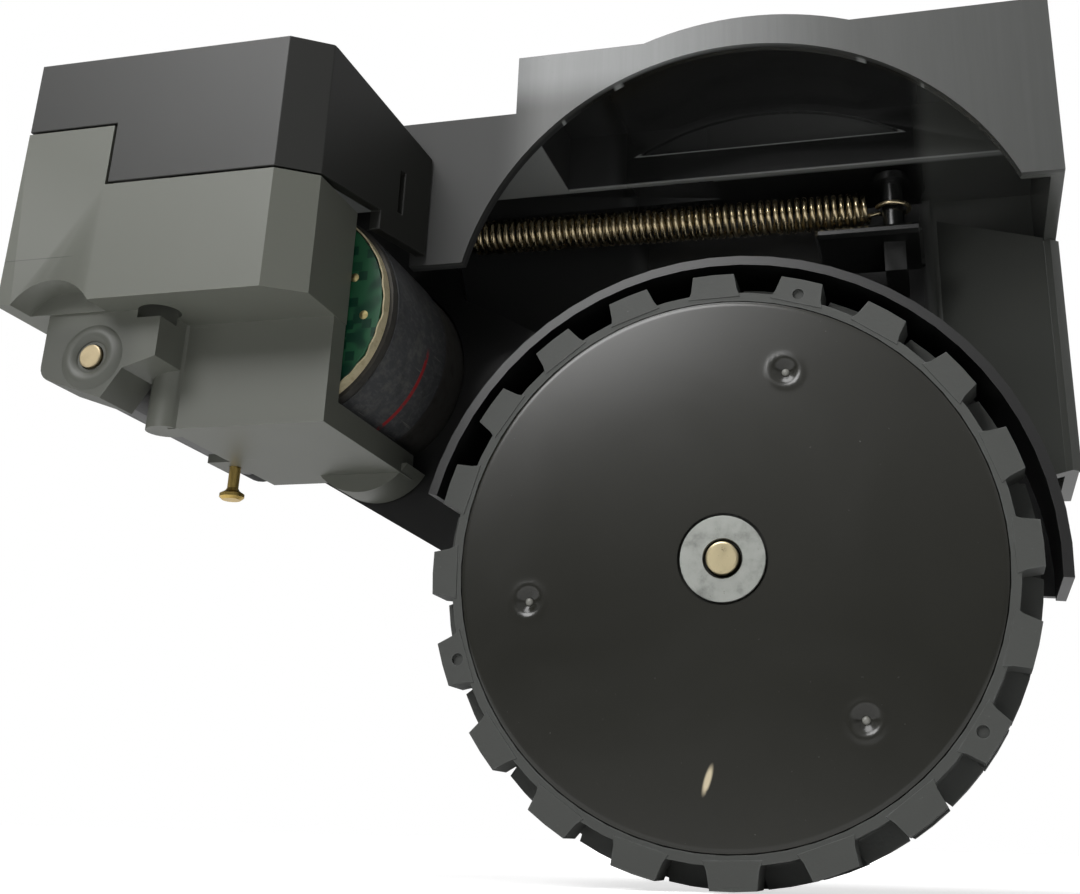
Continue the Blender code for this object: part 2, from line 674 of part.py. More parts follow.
def gearbox_case():
    """The arm in one moulding: gear case, wheel guard, motor ring, hinge barrel and spring horn."""
    case = slab([CASE_OUTLINE], CASE_FRONT, CASE_FRONT + CASE_DEPTH)
    sector = arc(AXLE, GUARD_OUTER, GUARD_START, GUARD_END, 30)
    inner = arc(AXLE, GUARD_OUTER - GUARD_WALL, GUARD_END, GUARD_START, 30)
    guard = slab([sector + inner], GUARD_FRONT, CASE_FRONT + CASE_WALL / 2)
    inside = arc(AXLE, GUARD_OUTER - 3 * STEP, GUARD_START + 0.01, GUARD_END - 0.01, 26)
    back = slab([inside + [(AXLE.x, AXLE.z + STEP)]], CASE_FRONT + STEP, CAVITY_FRONT - STEP)
    barrel = rod(BARREL_RADIUS, BARREL_FRONT, BARREL_BACK, PIVOT, 24)
    web = slab(
        [hull([(PIVOT, BARREL_RADIUS - 3 * STEP), (MOTOR, RING_OUTER - 3 * STEP)])],
        CASE_FRONT + 2 * STEP,
        CAVITY_FRONT - 2 * STEP,
    )
    horn = slab(
        [hull([(HORN, HORN_RADIUS), (MOTOR + Vector((9 * MM, 0, 8 * MM)), 4.5 * MM)], 24)],
        SPRING_Y - 2.6 * MM,
        SPRING_Y - 1.0 * MM,
    )
    lugs = [
        rod(2.3 * MM, CASE_FRONT + 3 * STEP, CASE_FRONT + CASE_DEPTH - STEP, spot, 20) for spot in CASE_SCREWS
    ]
    join(case, guard, back, barrel, web, horn, *lugs)
    cavity = slab([offset(CASE_OUTLINE, CASE_WALL)], CAVITY_FRONT, CASE_FRONT + CASE_DEPTH + 1 * MM)
    cut(case, cavity)
    floor = slab([circle(MOTOR, RING_OUTER - 0.4 * MM, 40)], CAVITY_FRONT - 0.4 * MM, MOTOR_BACK + 1.5 * MM)
    bosses = [
        rod(GEAR_PIN + 1.6 * MM, CAVITY_FRONT - 0.4 * MM, LAYERS[stage] - GEAR_SPACE, place, 20)
        for stage, place in ((1, FIRST), (2, SECOND))
    ]
    collar = rod(BUSH_RADIUS + 1.5 * MM, CAVITY_FRONT - 0.4 * MM, CAVITY_FRONT + 0.6 * MM, AXLE, 26)
    join(case, floor, collar, *bosses)
    bores = [
        rod(CAN_BORE, CASE_FRONT - 1 * MM, MOTOR_BACK + GAP, MOTOR, 36),
        rod(3.4 * MM, MOTOR_BACK, MOTOR_BACK + 2 * MM, MOTOR, 24),
        rod(PIN_RADIUS + RUNNING, BARREL_FRONT - 1 * MM, BARREL_BACK + 1 * MM, PIVOT, 32),
        rod(BUSH_RADIUS + RUNNING, CASE_FRONT - 1 * MM, CAVITY_FRONT + 2 * MM, AXLE, 32),
        rod(0.9 * MM, SPRING_Y - 4 * MM, SPRING_Y, HORN, 16),
    ]
    bores += [
        rod(GEAR_PIN + RUNNING, start, COVER_FRONT, place, 16)
        for start, place in zip(PIN_STARTS, (FIRST, SECOND, THIRD))
    ]
    bores += [
        rod(CASE_SCREW_RADIUS + RUNNING, COVER_FRONT - 7 * MM, COVER_FRONT, spot, 16) for spot in CASE_SCREWS
    ]
    return smooth(finish(cut(case, *bores), "gearbox_case", ARM), 30)


def gearbox_cover():
    """The rear cover, with the lugs and holes of its screws, the rear bush's collar and the pins' sockets."""
    cover = slab([CASE_OUTLINE], COVER_FRONT, COVER_REAR)
    join(cover, *[rod(2.3 * MM, COVER_FRONT + STEP, COVER_REAR - STEP, spot, 20) for spot in CASE_SCREWS])
    holes = [
        rod(CASE_SCREW_RADIUS + RUNNING, COVER_FRONT - 1 * MM, COVER_REAR + 1 * MM, spot, 16)
        for spot in CASE_SCREWS
    ]
    holes += [
        rod(GEAR_PIN + RUNNING, COVER_FRONT - 1 * MM, COVER_REAR - COVER_WALL / 2, place, 16)
        for place in (FIRST, SECOND, THIRD)
    ]
    holes.append(rod(BUSH_RADIUS + RUNNING, COVER_FRONT - 1 * MM, COVER_REAR + 1 * MM, AXLE, 32))
    return smooth(finish(cut(cover, *holes), "gearbox_cover", ARM), 30)


def bush(name, front, back):
    ring = turned(
        [(BUSH_RADIUS, front), (BUSH_RADIUS, back), (AXLE_RADIUS + RUNNING, back), (AXLE_RADIUS + RUNNING, front)],
        steps=32,
    )
    return smooth(finish(ring, name, BRONZE))


def case_screws():
    """The screws that hold the gearbox's cover."""
    made = []
    for number, spot in enumerate(CASE_SCREWS):
        head = rod(CASE_SCREW_HEAD, COVER_REAR + GAP, COVER_REAR + GAP + 1.3 * MM, spot, 20)
        shaft = rod(CASE_SCREW_RADIUS, COVER_FRONT - 6 * MM, COVER_REAR + 1 * MM, spot, 16)
        made.append(small_screw("case_screw_" + str(number + 1), shaft, head))
    return made


def motor():
    """The can with its front edge, the nylon end cap and the encoder board with what stands on it."""
    can = turned(
        [
            (MOTOR_RADIUS, MOTOR_FRONT),
            (MOTOR_RADIUS, MOTOR_BACK - 0.6 * MM),
            (MOTOR_RADIUS - 0.6 * MM, MOTOR_BACK),
            (SHAFT_RADIUS + 0.6 * MM, MOTOR_BACK),
            (SHAFT_RADIUS + 0.6 * MM, MOTOR_BACK - CAN_WALL),
            (MOTOR_RADIUS - CAN_WALL, MOTOR_BACK - CAN_WALL),
            (MOTOR_RADIUS - CAN_WALL, MOTOR_FRONT),
        ],
        MOTOR,
        36,
    )
    boss = turned(
        [
            (2.9 * MM, MOTOR_BACK - 0.3 * MM),
            (2.9 * MM, MOTOR_BACK + 1.2 * MM),
            (SHAFT_RADIUS + 0.6 * MM, MOTOR_BACK + 1.2 * MM),
            (SHAFT_RADIUS + 0.6 * MM, MOTOR_BACK - 0.3 * MM),
        ],
        MOTOR,
        24,
    )
    cap_radius = MOTOR_RADIUS - CAN_WALL - GAP
    cap = turned(
        [
            (cap_radius, MOTOR_FRONT + CAP_DEPTH),
            (cap_radius, MOTOR_FRONT + CAP_DEPTH + CAP_THICK),
            (SHAFT_RADIUS + RUNNING, MOTOR_FRONT + CAP_DEPTH + CAP_THICK),
            (SHAFT_RADIUS + RUNNING, MOTOR_FRONT + CAP_DEPTH),
        ],
        MOTOR,
        48,
    )
    slots = []
    for side in (-1, 1):
        low = MOTOR + Vector((side * TERMINAL_REACH, 0, 0))
        slots.append(
            box(
                (low.x - TERMINAL_THICK / 2 - GAP, MOTOR_FRONT + CAP_DEPTH - 1 * MM, low.z - TERMINAL_HALF - GAP),
                (low.x + TERMINAL_THICK / 2 + GAP, MOTOR_FRONT + CAP_DEPTH + 1.2 * MM, low.z + TERMINAL_HALF + GAP),
            )
        )
    cut(cap, *slots)
    return [
        smooth(finish(join(can, boss), "motor_can", CAN_STEEL), 30),
        finish(cap, "motor_end_cap", BLACK),
    ]


def encoder_board():
    """A round board on the motor's end, its connector, sensor chip and the two motor terminals."""
    back = MOTOR_FRONT - GAP
    front = back - BOARD_THICK
    board = slab([circle(MOTOR, BOARD_RADIUS, 36)], front, back)
    holes = [rod(BOARD_BORE, front - 1 * MM, back + 1 * MM, MOTOR, 24)]
    terminals = []
    for side, name in ((-1, "motor_terminal_left"), (1, "motor_terminal_right")):
        x = MOTOR.x + side * TERMINAL_REACH
        low = (x - TERMINAL_THICK / 2, front - STEP, MOTOR.z - TERMINAL_HALF)
        high = (x + TERMINAL_THICK / 2, MOTOR_FRONT + CAP_DEPTH + 0.9 * MM, MOTOR.z + TERMINAL_HALF)
        terminals.append(finish(box(low, high), name, BRASS))
        holes.append(
            box(
                (low[0] - GAP, front - 1 * MM, low[2] - GAP),
                (high[0] + GAP, back + 1 * MM, high[2] + GAP),
            )
        )
    cut(board, *holes)
    for side in (-1, 1):
        spot = polar(MOTOR, BOARD_RADIUS - 3.6 * MM, math.radians(45 + 90 * side))
        cut(board, rod(1.1 * MM, front - 1 * MM, back + 1 * MM, spot, 20))
    plug = MOTOR + Vector((2.5 * MM, 0, BOARD_RADIUS - 3.4 * MM))
    connector = box(
        (plug.x - 4.0 * MM, front - GAP - 3.6 * MM, plug.z - 1.6 * MM),
        (plug.x + 4.0 * MM, front - GAP, plug.z + 1.6 * MM),
    )
    mouth = box(
        (plug.x - 3.4 * MM, front - 5.0 * MM, plug.z - 1.0 * MM),
        (plug.x + 3.4 * MM, front - GAP - 1.0 * MM, plug.z + 1.0 * MM),
    )
    chip = box(
        (MOTOR.x - 1.5 * MM, back + GAP, MOTOR.z - MAGNET_RADIUS - 4.4 * MM),
        (MOTOR.x + 1.5 * MM, back + GAP + 1.0 * MM, MOTOR.z - MAGNET_RADIUS - 1.2 * MM),
    )
    return [
        finish(board, "encoder_board", BOARD),
        finish(cut(connector, mouth), "board_connector", WHITE),
        finish(chip, "hall_sensor", BLACK),
    ] + terminals


def rotor(pinion):
    """The motor's shaft with its pinion and the encoder's ring magnet."""
    front = MOTOR_FRONT - GAP - BOARD_THICK
    shaft = rod(SHAFT_RADIUS, front, LAYERS[0] + GEAR_WIDTH + 0.4 * MM, MOTOR, 24)
    magnet = turned(
        [
            (MAGNET_RADIUS, MOTOR_FRONT + GAP),
            (MAGNET_RADIUS, MOTOR_FRONT + CAP_DEPTH - GAP),
            (SHAFT_RADIUS + GAP, MOTOR_FRONT + CAP_DEPTH - GAP),
            (SHAFT_RADIUS + GAP, MOTOR_FRONT + GAP),
        ],
        MOTOR,
        24,
    )
    return [
        smooth(finish(shaft, "motor_shaft", STEEL)),
        smooth(finish(magnet, "encoder_magnet", BLACK)),
        pinion,
    ]


def tension_spring():
    """A close-wound tension spring with a loop at each end, as one bent wire."""
    axis = (SPRING_RIGHT - SPRING_LEFT).normalized()
    side = axis.cross(Vector((0, 1, 0))).normalized()
    length = (SPRING_RIGHT - SPRING_LEFT).length
    turns = round(length / SPRING_PITCH)
    radius = SPRING_RADIUS - SPRING_WIRE
    steps = 8
    points = []
    for along, back in ((0, -3.4), (0, -0.5), (0.15, 0.2), (0.5, 0.9)):
        points.append(HORN + along * (SPRING_LEFT - HORN) + Vector((0, back * MM, 0)))
    for i in range(turns * steps + 1):
        angle = TAU * i / steps
        spot = SPRING_LEFT + axis * (length * i / (turns * steps))
        points.append(spot + radius * (math.sin(angle) * side + math.cos(angle) * Vector((0, 1, 0))))
    post = SPRING_RIGHT + axis * POST_OFFSET
    for i in range(7):
        angle = math.radians(150 - 50 * i)
        reach = POST_RADIUS + SPRING_WIRE + GAP
        points.append(post + reach * (math.cos(angle) * axis + math.sin(angle) * Vector((0, 1, 0))))
    data = bpy.data.curves.new("wire", "CURVE")
    data.dimensions = "3D"
    data.bevel_depth = SPRING_WIRE
    data.bevel_resolution = 0
    data.use_fill_caps = True
    spline = data.splines.new("POLY")
    spline.points.add(len(points) - 1)
    for point, spot in zip(spline.points, points):
        point.co = (*spot, 1)
    made = bpy.data.objects.new("wire", data)
    bpy.context.scene.collection.objects.link(made)
    bpy.context.view_layer.update()
    return smooth(finish(apply_transform(curve_to_mesh(made)), "tension_spring", SPRING_STEEL), 60)


def roof_line():
    """The high bay's top line from left to right, over the bulge that clears the guard."""
    reach = math.sqrt(BULGE_RADIUS**2 - (ROOF - BULGE_CENTRE.z) ** 2)
    rise = math.atan2(ROOF - BULGE_CENTRE.z, reach)
    return [(WELL_LEFT, ROOF)] + arc(BULGE_CENTRE, BULGE_RADIUS, math.pi - rise, rise, 16) + [(WELL_RIGHT, ROOF)]


def wheel_well():
    """The moulded well: arched front plate, high bay for the wheel, low rear bay, post and hinge ear."""
    top = roof_line()
    arch_end = math.asin((LEDGE - ARCH_CENTRE.z) / ARCH_RADIUS)
    arch_start = math.pi - math.asin((ARCH_LEFT_END - ARCH_CENTRE.z) / ARCH_RADIUS)
    plate = slab(
        [
            [(WING_LEFT, WING_UNDER), (WING_LEFT, LOW_ROOF), (WELL_LEFT, LOW_ROOF)]
            + top
            + [(WELL_RIGHT, LEDGE)]
            + arc(ARCH_CENTRE, ARCH_RADIUS, arch_end, arch_start, 56)
            + [(SIDE_STRIP, ARCH_LEFT_END), (SIDE_STRIP, WING_UNDER)]
        ],
        PLATE_FRONT,
        PLATE_BACK,
    )
    inner = [(WELL_RIGHT - WALL, ROOF - WALL)]
    bulge_inner = BULGE_RADIUS - WALL
    rise = math.asin((ROOF - WALL - BULGE_CENTRE.z) / bulge_inner)
    inner += arc(BULGE_CENTRE, bulge_inner, rise, math.pi - rise, 16)
    inner += [(WELL_LEFT + WALL, ROOF - WALL), (WELL_LEFT + WALL, LOW_ROOF - WALL)]
    high = slab(
        [[(WELL_LEFT, LOW_ROOF - WALL)] + top + [(WELL_RIGHT, LEDGE), (WELL_RIGHT - WALL, LEDGE)] + inner],
        PLATE_FRONT + 0.4 * MM,
        BAY_FRONT + WALL,
    )
    screen = slab(
        [[(WELL_LEFT, LOW_ROOF - WALL)] + top + [(WELL_RIGHT, LOW_ROOF - WALL)]], BAY_FRONT, BAY_FRONT + WALL
    )
    crescent_rise = math.acos(1 - CRESCENT_RISE / CRESCENT_RADIUS)
    crescent = slab(
        [arc(BULGE_CENTRE, CRESCENT_RADIUS, math.pi / 2 - crescent_rise, math.pi / 2 + crescent_rise, 16)],
        BAY_FRONT - 1 * MM,
        BAY_FRONT + WALL / 2,
    )
    cut(screen, crescent)
    low_roof = box((WING_LEFT, PLATE_FRONT + 0.4 * MM, LOW_ROOF - WALL), (WELL_LEFT + WALL, WELL_BACK, LOW_ROOF))
    rear_roof = box((WELL_LEFT, BAY_FRONT, LOW_ROOF - WALL), (WELL_RIGHT, WELL_BACK, LOW_ROOF))
    right = box((WELL_RIGHT - WALL, BAY_FRONT, WELL_BOTTOM), (WELL_RIGHT, WELL_BACK, LOW_ROOF))
    back = slab(
        [
            [
                (WING_LEFT, LOW_ROOF),
                (WING_LEFT, REAR_STEP),
                (REAR_FOOT, REAR_STEP),
                (REAR_FOOT, REAR_FOOT_BOTTOM),
                (REAR_TOE, REAR_FOOT_BOTTOM),
                (REAR_TOE + 6 * MM, WELL_BOTTOM),
                (WELL_RIGHT, WELL_BOTTOM),
                (WELL_RIGHT, LOW_ROOF),
            ]
        ],
        WELL_BACK - WALL,
        WELL_BACK,
    )
    panel = Vector((WELL_RIGHT - WALL / 2 - PANEL_LEFT, BAY_FRONT + WALL / 2 - WELL_BACK, 0))
    corner = slab(
        [[(0, WELL_BOTTOM), (panel.length, WELL_BOTTOM), (panel.length, LEDGE - STEP), (0, PANEL_TOP)]], 0, WALL
    )
    turn = Matrix.Rotation(math.atan2(panel.y, panel.x), 4, "Z")
    corner.matrix_world = Matrix.Translation((PANEL_LEFT, WELL_BACK - WALL, 0)) @ turn
    bpy.context.view_layer.update()
    apply_transform(corner)
    post_at = SPRING_RIGHT + (SPRING_RIGHT - SPRING_LEFT).normalized() * POST_OFFSET
    shelf_top = post_at.z - SPRING_RADIUS - 0.8 * MM
    shelf = box(
        (post_at.x - 11 * MM, post_at.y - 3.0 * MM, shelf_top - WALL),
        (post_at.x + 4 * MM, WELL_BACK - WALL / 2, shelf_top),
    )
    shelf_bevel = shelf.modifiers.new("edge", "BEVEL")
    shelf_bevel.width = 0.5 * MM
    gusset = box(
        (post_at.x - 1.5 * MM, post_at.y, shelf_top - 6 * MM),
        (post_at.x + 1.5 * MM, WELL_BACK - WALL / 2, shelf_top),
    )
    post_top = LOW_ROOF - WALL - 0.6 * MM
    post = upright(POST_RADIUS, shelf_top - WALL / 2, post_top, post_at, 24)
    head = upright(POST_HEAD, post_top - 1.1 * MM, post_top, post_at, 24)
    rib = box(
        (RIB_LEFT, WELL_BACK - WALL - 0.9 * MM, WELL_BOTTOM), (RIB_LEFT + 1.2 * MM, WELL_BACK - WALL / 2, LOW_ROOF)
    )
    pad = box(
        (RIB_LEFT - 8 * MM, WELL_BACK - WALL - 0.8 * MM, STOP_LOW),
        (RIB_LEFT - 1.5 * MM, WELL_BACK - WALL / 2, STOP_LOW + STOP_HEIGHT),
    )
    ear_front = BARREL_BACK + GAP
    ear = slab(
        [hull([(PIVOT, BARREL_RADIUS), (Vector((EAR_WEB, 0, PIVOT.z + 8 * MM)), 1.2 * MM)], 32)],
        ear_front,
        ear_front + REAR_EAR,
    )
    web = box(
        (EAR_WEB - 1.2 * MM, ear_front, PIVOT.z + 7.5 * MM),
        (EAR_WEB + 0.4 * MM, WELL_BACK - WALL / 2, LOW_ROOF - WALL / 2),
    )
    tunnel_left = LIFTED.x - HORN_RADIUS - 2 * MM
    tunnel_top = LIFTED.z + SPRING_RADIUS + 0.8 * MM
    tunnel = slab(
        [
            [
                (tunnel_left - TUNNEL_WALL, LOW_ROOF - WALL / 2),
                (TUNNEL_RIGHT + 2 * MM, LOW_ROOF - WALL / 2),
                (LIFTED.x, tunnel_top + TUNNEL_WALL),
                (tunnel_left - TUNNEL_WALL, tunnel_top + TUNNEL_WALL),
            ]
        ],
        BAY_FRONT + STEP,
        SPRING_Y + TUNNEL_HALF + TUNNEL_WALL,
    )
    tunnel_space = slab(
        [
            [
                (tunnel_left, LOW_ROOF - 2 * WALL),
                (TUNNEL_RIGHT, LOW_ROOF - 2 * WALL),
                (TUNNEL_RIGHT, LOW_ROOF - WALL + STEP),
                (LIFTED.x, tunnel_top),
                (tunnel_left, tunnel_top),
            ]
        ],
        SPRING_Y - TUNNEL_HALF,
        SPRING_Y + TUNNEL_HALF,
    )
    join(plate, tunnel)
    join(plate, high, screen, low_roof, rear_roof, right, back, corner, shelf, gusset, post, head, rib, pad, ear, web)
    cut(plate, tunnel_space)
    bores = [rod(PIN_RADIUS + RUNNING, ear_front - 1 * MM, ear_front + REAR_EAR + 1 * MM, PIVOT, 32)]
    bores += [rod(WELL_SCREW + RUNNING, PLATE_FRONT - 1 * MM, PLATE_BACK + 1 * MM, spot, 20) for spot in WELL_SCREWS]
    return smooth(finish(cut(plate, *bores), "wheel_well_housing", DARK), 30)


def block_plan(front, right, left, shoulder, corner, back):
    """The left block's plan, seen from above, anticlockwise, with its chamfered front corner."""
    return [(left, front), (corner, front), (right, shoulder), (right, back), (left, back)]


BLOCK_BACK = BRACKET_BACK
OUTER_PLAN = block_plan(BLOCK_FRONT, BLOCK_RIGHT, BLOCK_LEFT, BLOCK_SHOULDER, BLOCK_CORNER, BLOCK_BACK)
INNER_PLAN = block_plan(
    BLOCK_FRONT + BLOCK_WALL,
    BLOCK_RIGHT - BLOCK_WALL,
    BLOCK_LEFT + BLOCK_WALL,
    BLOCK_SHOULDER + BLOCK_WALL / 2,
    BLOCK_CORNER - BLOCK_WALL / 2,
    2 * MM,
)


def motor_cover():
    """The dark upper part of the block, open below and behind, flaring back to the front plate."""
    flare = [
        (BLOCK_LEFT, BLOCK_FRONT),
        (BLOCK_CORNER, BLOCK_FRONT),
        (BLOCK_RIGHT, BLOCK_SHOULDER),
        (COVER_FLARE, COVER_BACK),
        (BLOCK_LEFT, COVER_BACK),
    ]
    inner = [
        (BLOCK_LEFT + BLOCK_WALL, BLOCK_FRONT + BLOCK_WALL),
        (BLOCK_CORNER - BLOCK_WALL / 2, BLOCK_FRONT + BLOCK_WALL),
        (BLOCK_RIGHT - 1.3 * MM, BLOCK_SHOULDER + BLOCK_WALL / 2),
        (COVER_FLARE - 1.1 * MM, COVER_BACK + 1 * MM),
        (BLOCK_LEFT + BLOCK_WALL, COVER_BACK + 1 * MM),
    ]
    cover = storey([flare], COVER_HEM, BLOCK_TOP)
    below_left = box(
        (BLOCK_LEFT - 2 * MM, BLOCK_FRONT - 2 * MM, COVER_HEM - 2 * MM),
        (SEAM_STEP, COVER_BACK + 2 * MM, SEAM_HIGH + GAP),
    )
    below_front = box(
        (SEAM_STEP - 1 * MM, BLOCK_FRONT - 3 * MM, COVER_HEM - 3 * MM),
        (BLOCK_RIGHT + 8 * MM, BRACKET_BACK + GAP, SEAM_LOW + GAP),
    )
    low, high, far = (
        Vector((COVER_FLARE, COVER_BACK, COVER_CHAMFER_LOW)),
        Vector((BLOCK_RIGHT, COVER_BACK, BLOCK_TOP)),
        Vector((BLOCK_RIGHT, BLOCK_SHOULDER + 6 * MM, BLOCK_TOP)),
    )
    across = (high - low).normalized()
    normal = across.cross(far - high).normalized()
    if normal.x < 0:
        normal.negate()
    along = normal.cross(across)
    slope = box((-20 * MM, -40 * MM, 0), (20 * MM, 40 * MM, 10 * MM))
    slope.matrix_world = Matrix.Translation(low) @ Matrix((across, along, normal)).transposed().to_4x4()
    bpy.context.view_layer.update()
    apply_transform(slope)
    cut(cover, below_left, below_front, slope)
    cut(cover, storey([inner], COVER_HEM - 1 * MM, BLOCK_TOP - BLOCK_WALL))
    bosses = [
        rod(2.2 * MM, COVER_BACK - 9 * MM, COVER_BACK, spot, 20)
        for spot in WELL_SCREWS
    ]
    hang = [
        box(
            (spot.x - 0.8 * MM, COVER_BACK - 9 * MM, spot.z),
            (spot.x + 0.8 * MM, COVER_BACK, BLOCK_TOP - BLOCK_WALL / 2),
        )
        for spot in WELL_SCREWS
    ]
    stem = upright(2.3 * MM, SEAM_LOW + GAP, BLOCK_TOP - BLOCK_WALL / 2, POCKET, 24)
    join(cover, stem, *bosses, *hang)
    slot = box((SLOT_X - 2 * MM, SLOT_Y - 0.5 * MM, SLOT_LOW), (SLOT_X + 3 * MM, SLOT_Y + 0.5 * MM, SLOT_HIGH))
    window = box(
        (PLUG_CENTRE.x - PLUG_HALF - GAP, PLUG_CENTRE.y - PLUG_DEPTH - GAP, BLOCK_TOP - 3 * MM),
        (PLUG_CENTRE.x + PLUG_HALF + GAP, PLUG_CENTRE.y + PLUG_DEPTH + GAP, BLOCK_TOP + 1 * MM),
    )
    holes = [rod(WELL_SCREW + RUNNING, COVER_BACK - 8 * MM, COVER_BACK + 1 * MM, spot, 16) for spot in WELL_SCREWS]
    holes.append(upright(WELL_SCREW + RUNNING, SEAM_LOW - 1 * MM, SEAM_LOW + 9 * MM, POCKET, 16))
    return smooth(finish(cut(cover, slot, window, *holes), "motor_cover", DARKER), 30)


def pivot_bracket():
    """The light lower part of the block: cap, stepped-back skirt, floor, screw tab and hinge ear."""
    bracket = storey([OUTER_PLAN], BLOCK_UNDER, SEAM_HIGH)
    above = box(
        (SEAM_STEP - GAP, BLOCK_FRONT - 1 * MM, SEAM_LOW), (BLOCK_RIGHT + 1 * MM, BLOCK_BACK + 1 * MM, SEAM_HIGH + 1 * MM)
    )
    cut(bracket, above, storey([INNER_PLAN], BLOCK_UNDER + BLOCK_WALL, SEAM_HIGH + 1 * MM))
    skirt = box((LOWER_LEFT, LOWER_FRONT, FLOOR_BOTTOM), (BLOCK_RIGHT - STEP, FLOOR_BACK, BLOCK_UNDER + BLOCK_WALL / 2))
    hollow = box(
        (LOWER_LEFT + BLOCK_WALL, LOWER_FRONT + BLOCK_WALL, FLOOR_BOTTOM + 1.4 * MM),
        (BLOCK_RIGHT - BLOCK_WALL, FLOOR_BACK + 1 * MM, BLOCK_UNDER + 3 * MM),
    )
    low_side = box(
        (LOWER_LEFT - 1 * MM, BRACKET_BACK, LIP_TOP), (BLOCK_RIGHT + 1 * MM, FLOOR_BACK + 1 * MM, BLOCK_UNDER + 3 * MM)
    )
    low_left = box(
        (LOWER_LEFT - 1 * MM, BRACKET_BACK, FLOOR_BOTTOM + 1.4 * MM),
        (LOWER_LEFT + BLOCK_WALL + 1 * MM, FLOOR_BACK + 1 * MM, LIP_TOP + 1 * MM),
    )
    cut(skirt, hollow, low_side, low_left)
    ear_top = BLOCK_UNDER + BLOCK_WALL / 2
    ear_right = LOWER_LEFT + BLOCK_WALL / 2
    ear = slab(
        [
            [(EAR_LEFT, ear_top), (EAR_LEFT, PIVOT.z - 0.5 * MM)]
            + arc(Vector((EAR_LEFT + 2 * MM, 0, PIVOT.z - 0.8 * MM)), 2 * MM, math.pi, 1.35 * math.pi, 4)
            + [
                (PIVOT.x + 2.0 * MM, PIVOT.z - 5.3 * MM),
                (PIVOT.x + 4.4 * MM, PIVOT.z - 1.6 * MM),
                (ear_right, PIVOT.z - 0.3 * MM),
                (ear_right, ear_top),
            ]
        ],
        EAR_FRONT,
        BARREL_FRONT - GAP,
    )
    boss = upright(2.5 * MM, FLOOR_BOTTOM + STEP, BLOCK_UNDER + 0.5 * MM, Vector((BOSS_X, LOWER_FRONT + BOSS_SUNK, 0)), 24)
    tab = box(
        (CAPTIVE.x - 2.6 * MM, CAPTIVE.y - 2.8 * MM, FLOOR_BOTTOM + STEP),
        (LOWER_LEFT + 2 * MM, CAPTIVE.y + 2.8 * MM, FLOOR_BOTTOM + 1.4 * MM - STEP),
    )
    tube = upright(POCKET_RADIUS + 1.4 * MM, BLOCK_UNDER + BLOCK_WALL / 2, SEAM_LOW - GAP, POCKET, 28)
    shield = box(
        (BLOCK_LEFT + BLOCK_WALL / 2, BLOCK_FRONT + BLOCK_WALL / 2, BLOCK_UNDER + BLOCK_WALL / 2),
        (PIVOT.x + 3.5 * MM, EAR_FRONT + 1.2 * MM, NOTCH_Z + NOTCH_RADIUS + 1.2 * MM),
    )
    foot_rise = math.asin((FOOT.z - FLOOR_BOTTOM - 1.3 * MM) / FOOT_RADIUS)
    foot = slab(
        [arc(FOOT, FOOT_RADIUS, math.pi + foot_rise, TAU - foot_rise, 20)],
        FLOOR_BACK - 4 * MM,
        CASE_FRONT - GAP,
    )
    join(bracket, skirt, ear, boss, tab, tube, shield, foot)
    notch = rod(NOTCH_RADIUS, BLOCK_FRONT - 1 * MM, EAR_FRONT - 0.4 * MM, Vector((PIVOT.x - 4.2 * MM, 0, NOTCH_Z)), 40)
    bores = [
        rod(PIN_RADIUS + RUNNING, EAR_FRONT - 1 * MM, BARREL_FRONT + 1 * MM, PIVOT, 32),
        upright(POCKET_RADIUS, BLOCK_UNDER - 1 * MM, SEAM_LOW - 3.4 * MM, POCKET, 28),
        upright(WELL_SCREW + RUNNING, SEAM_LOW - 4 * MM, SEAM_LOW + 1 * MM, POCKET, 16),
        upright(CAPTIVE_RADIUS + RUNNING, FLOOR_BOTTOM - 1 * MM, FLOOR_BOTTOM + 3 * MM, CAPTIVE, 16),
    ]
    return smooth(finish(cut(bracket, notch, *bores), "pivot_bracket", GREY), 30)


def small_screw(name, shaft, head):
    return smooth(finish(join(head, shaft), name, STEEL))


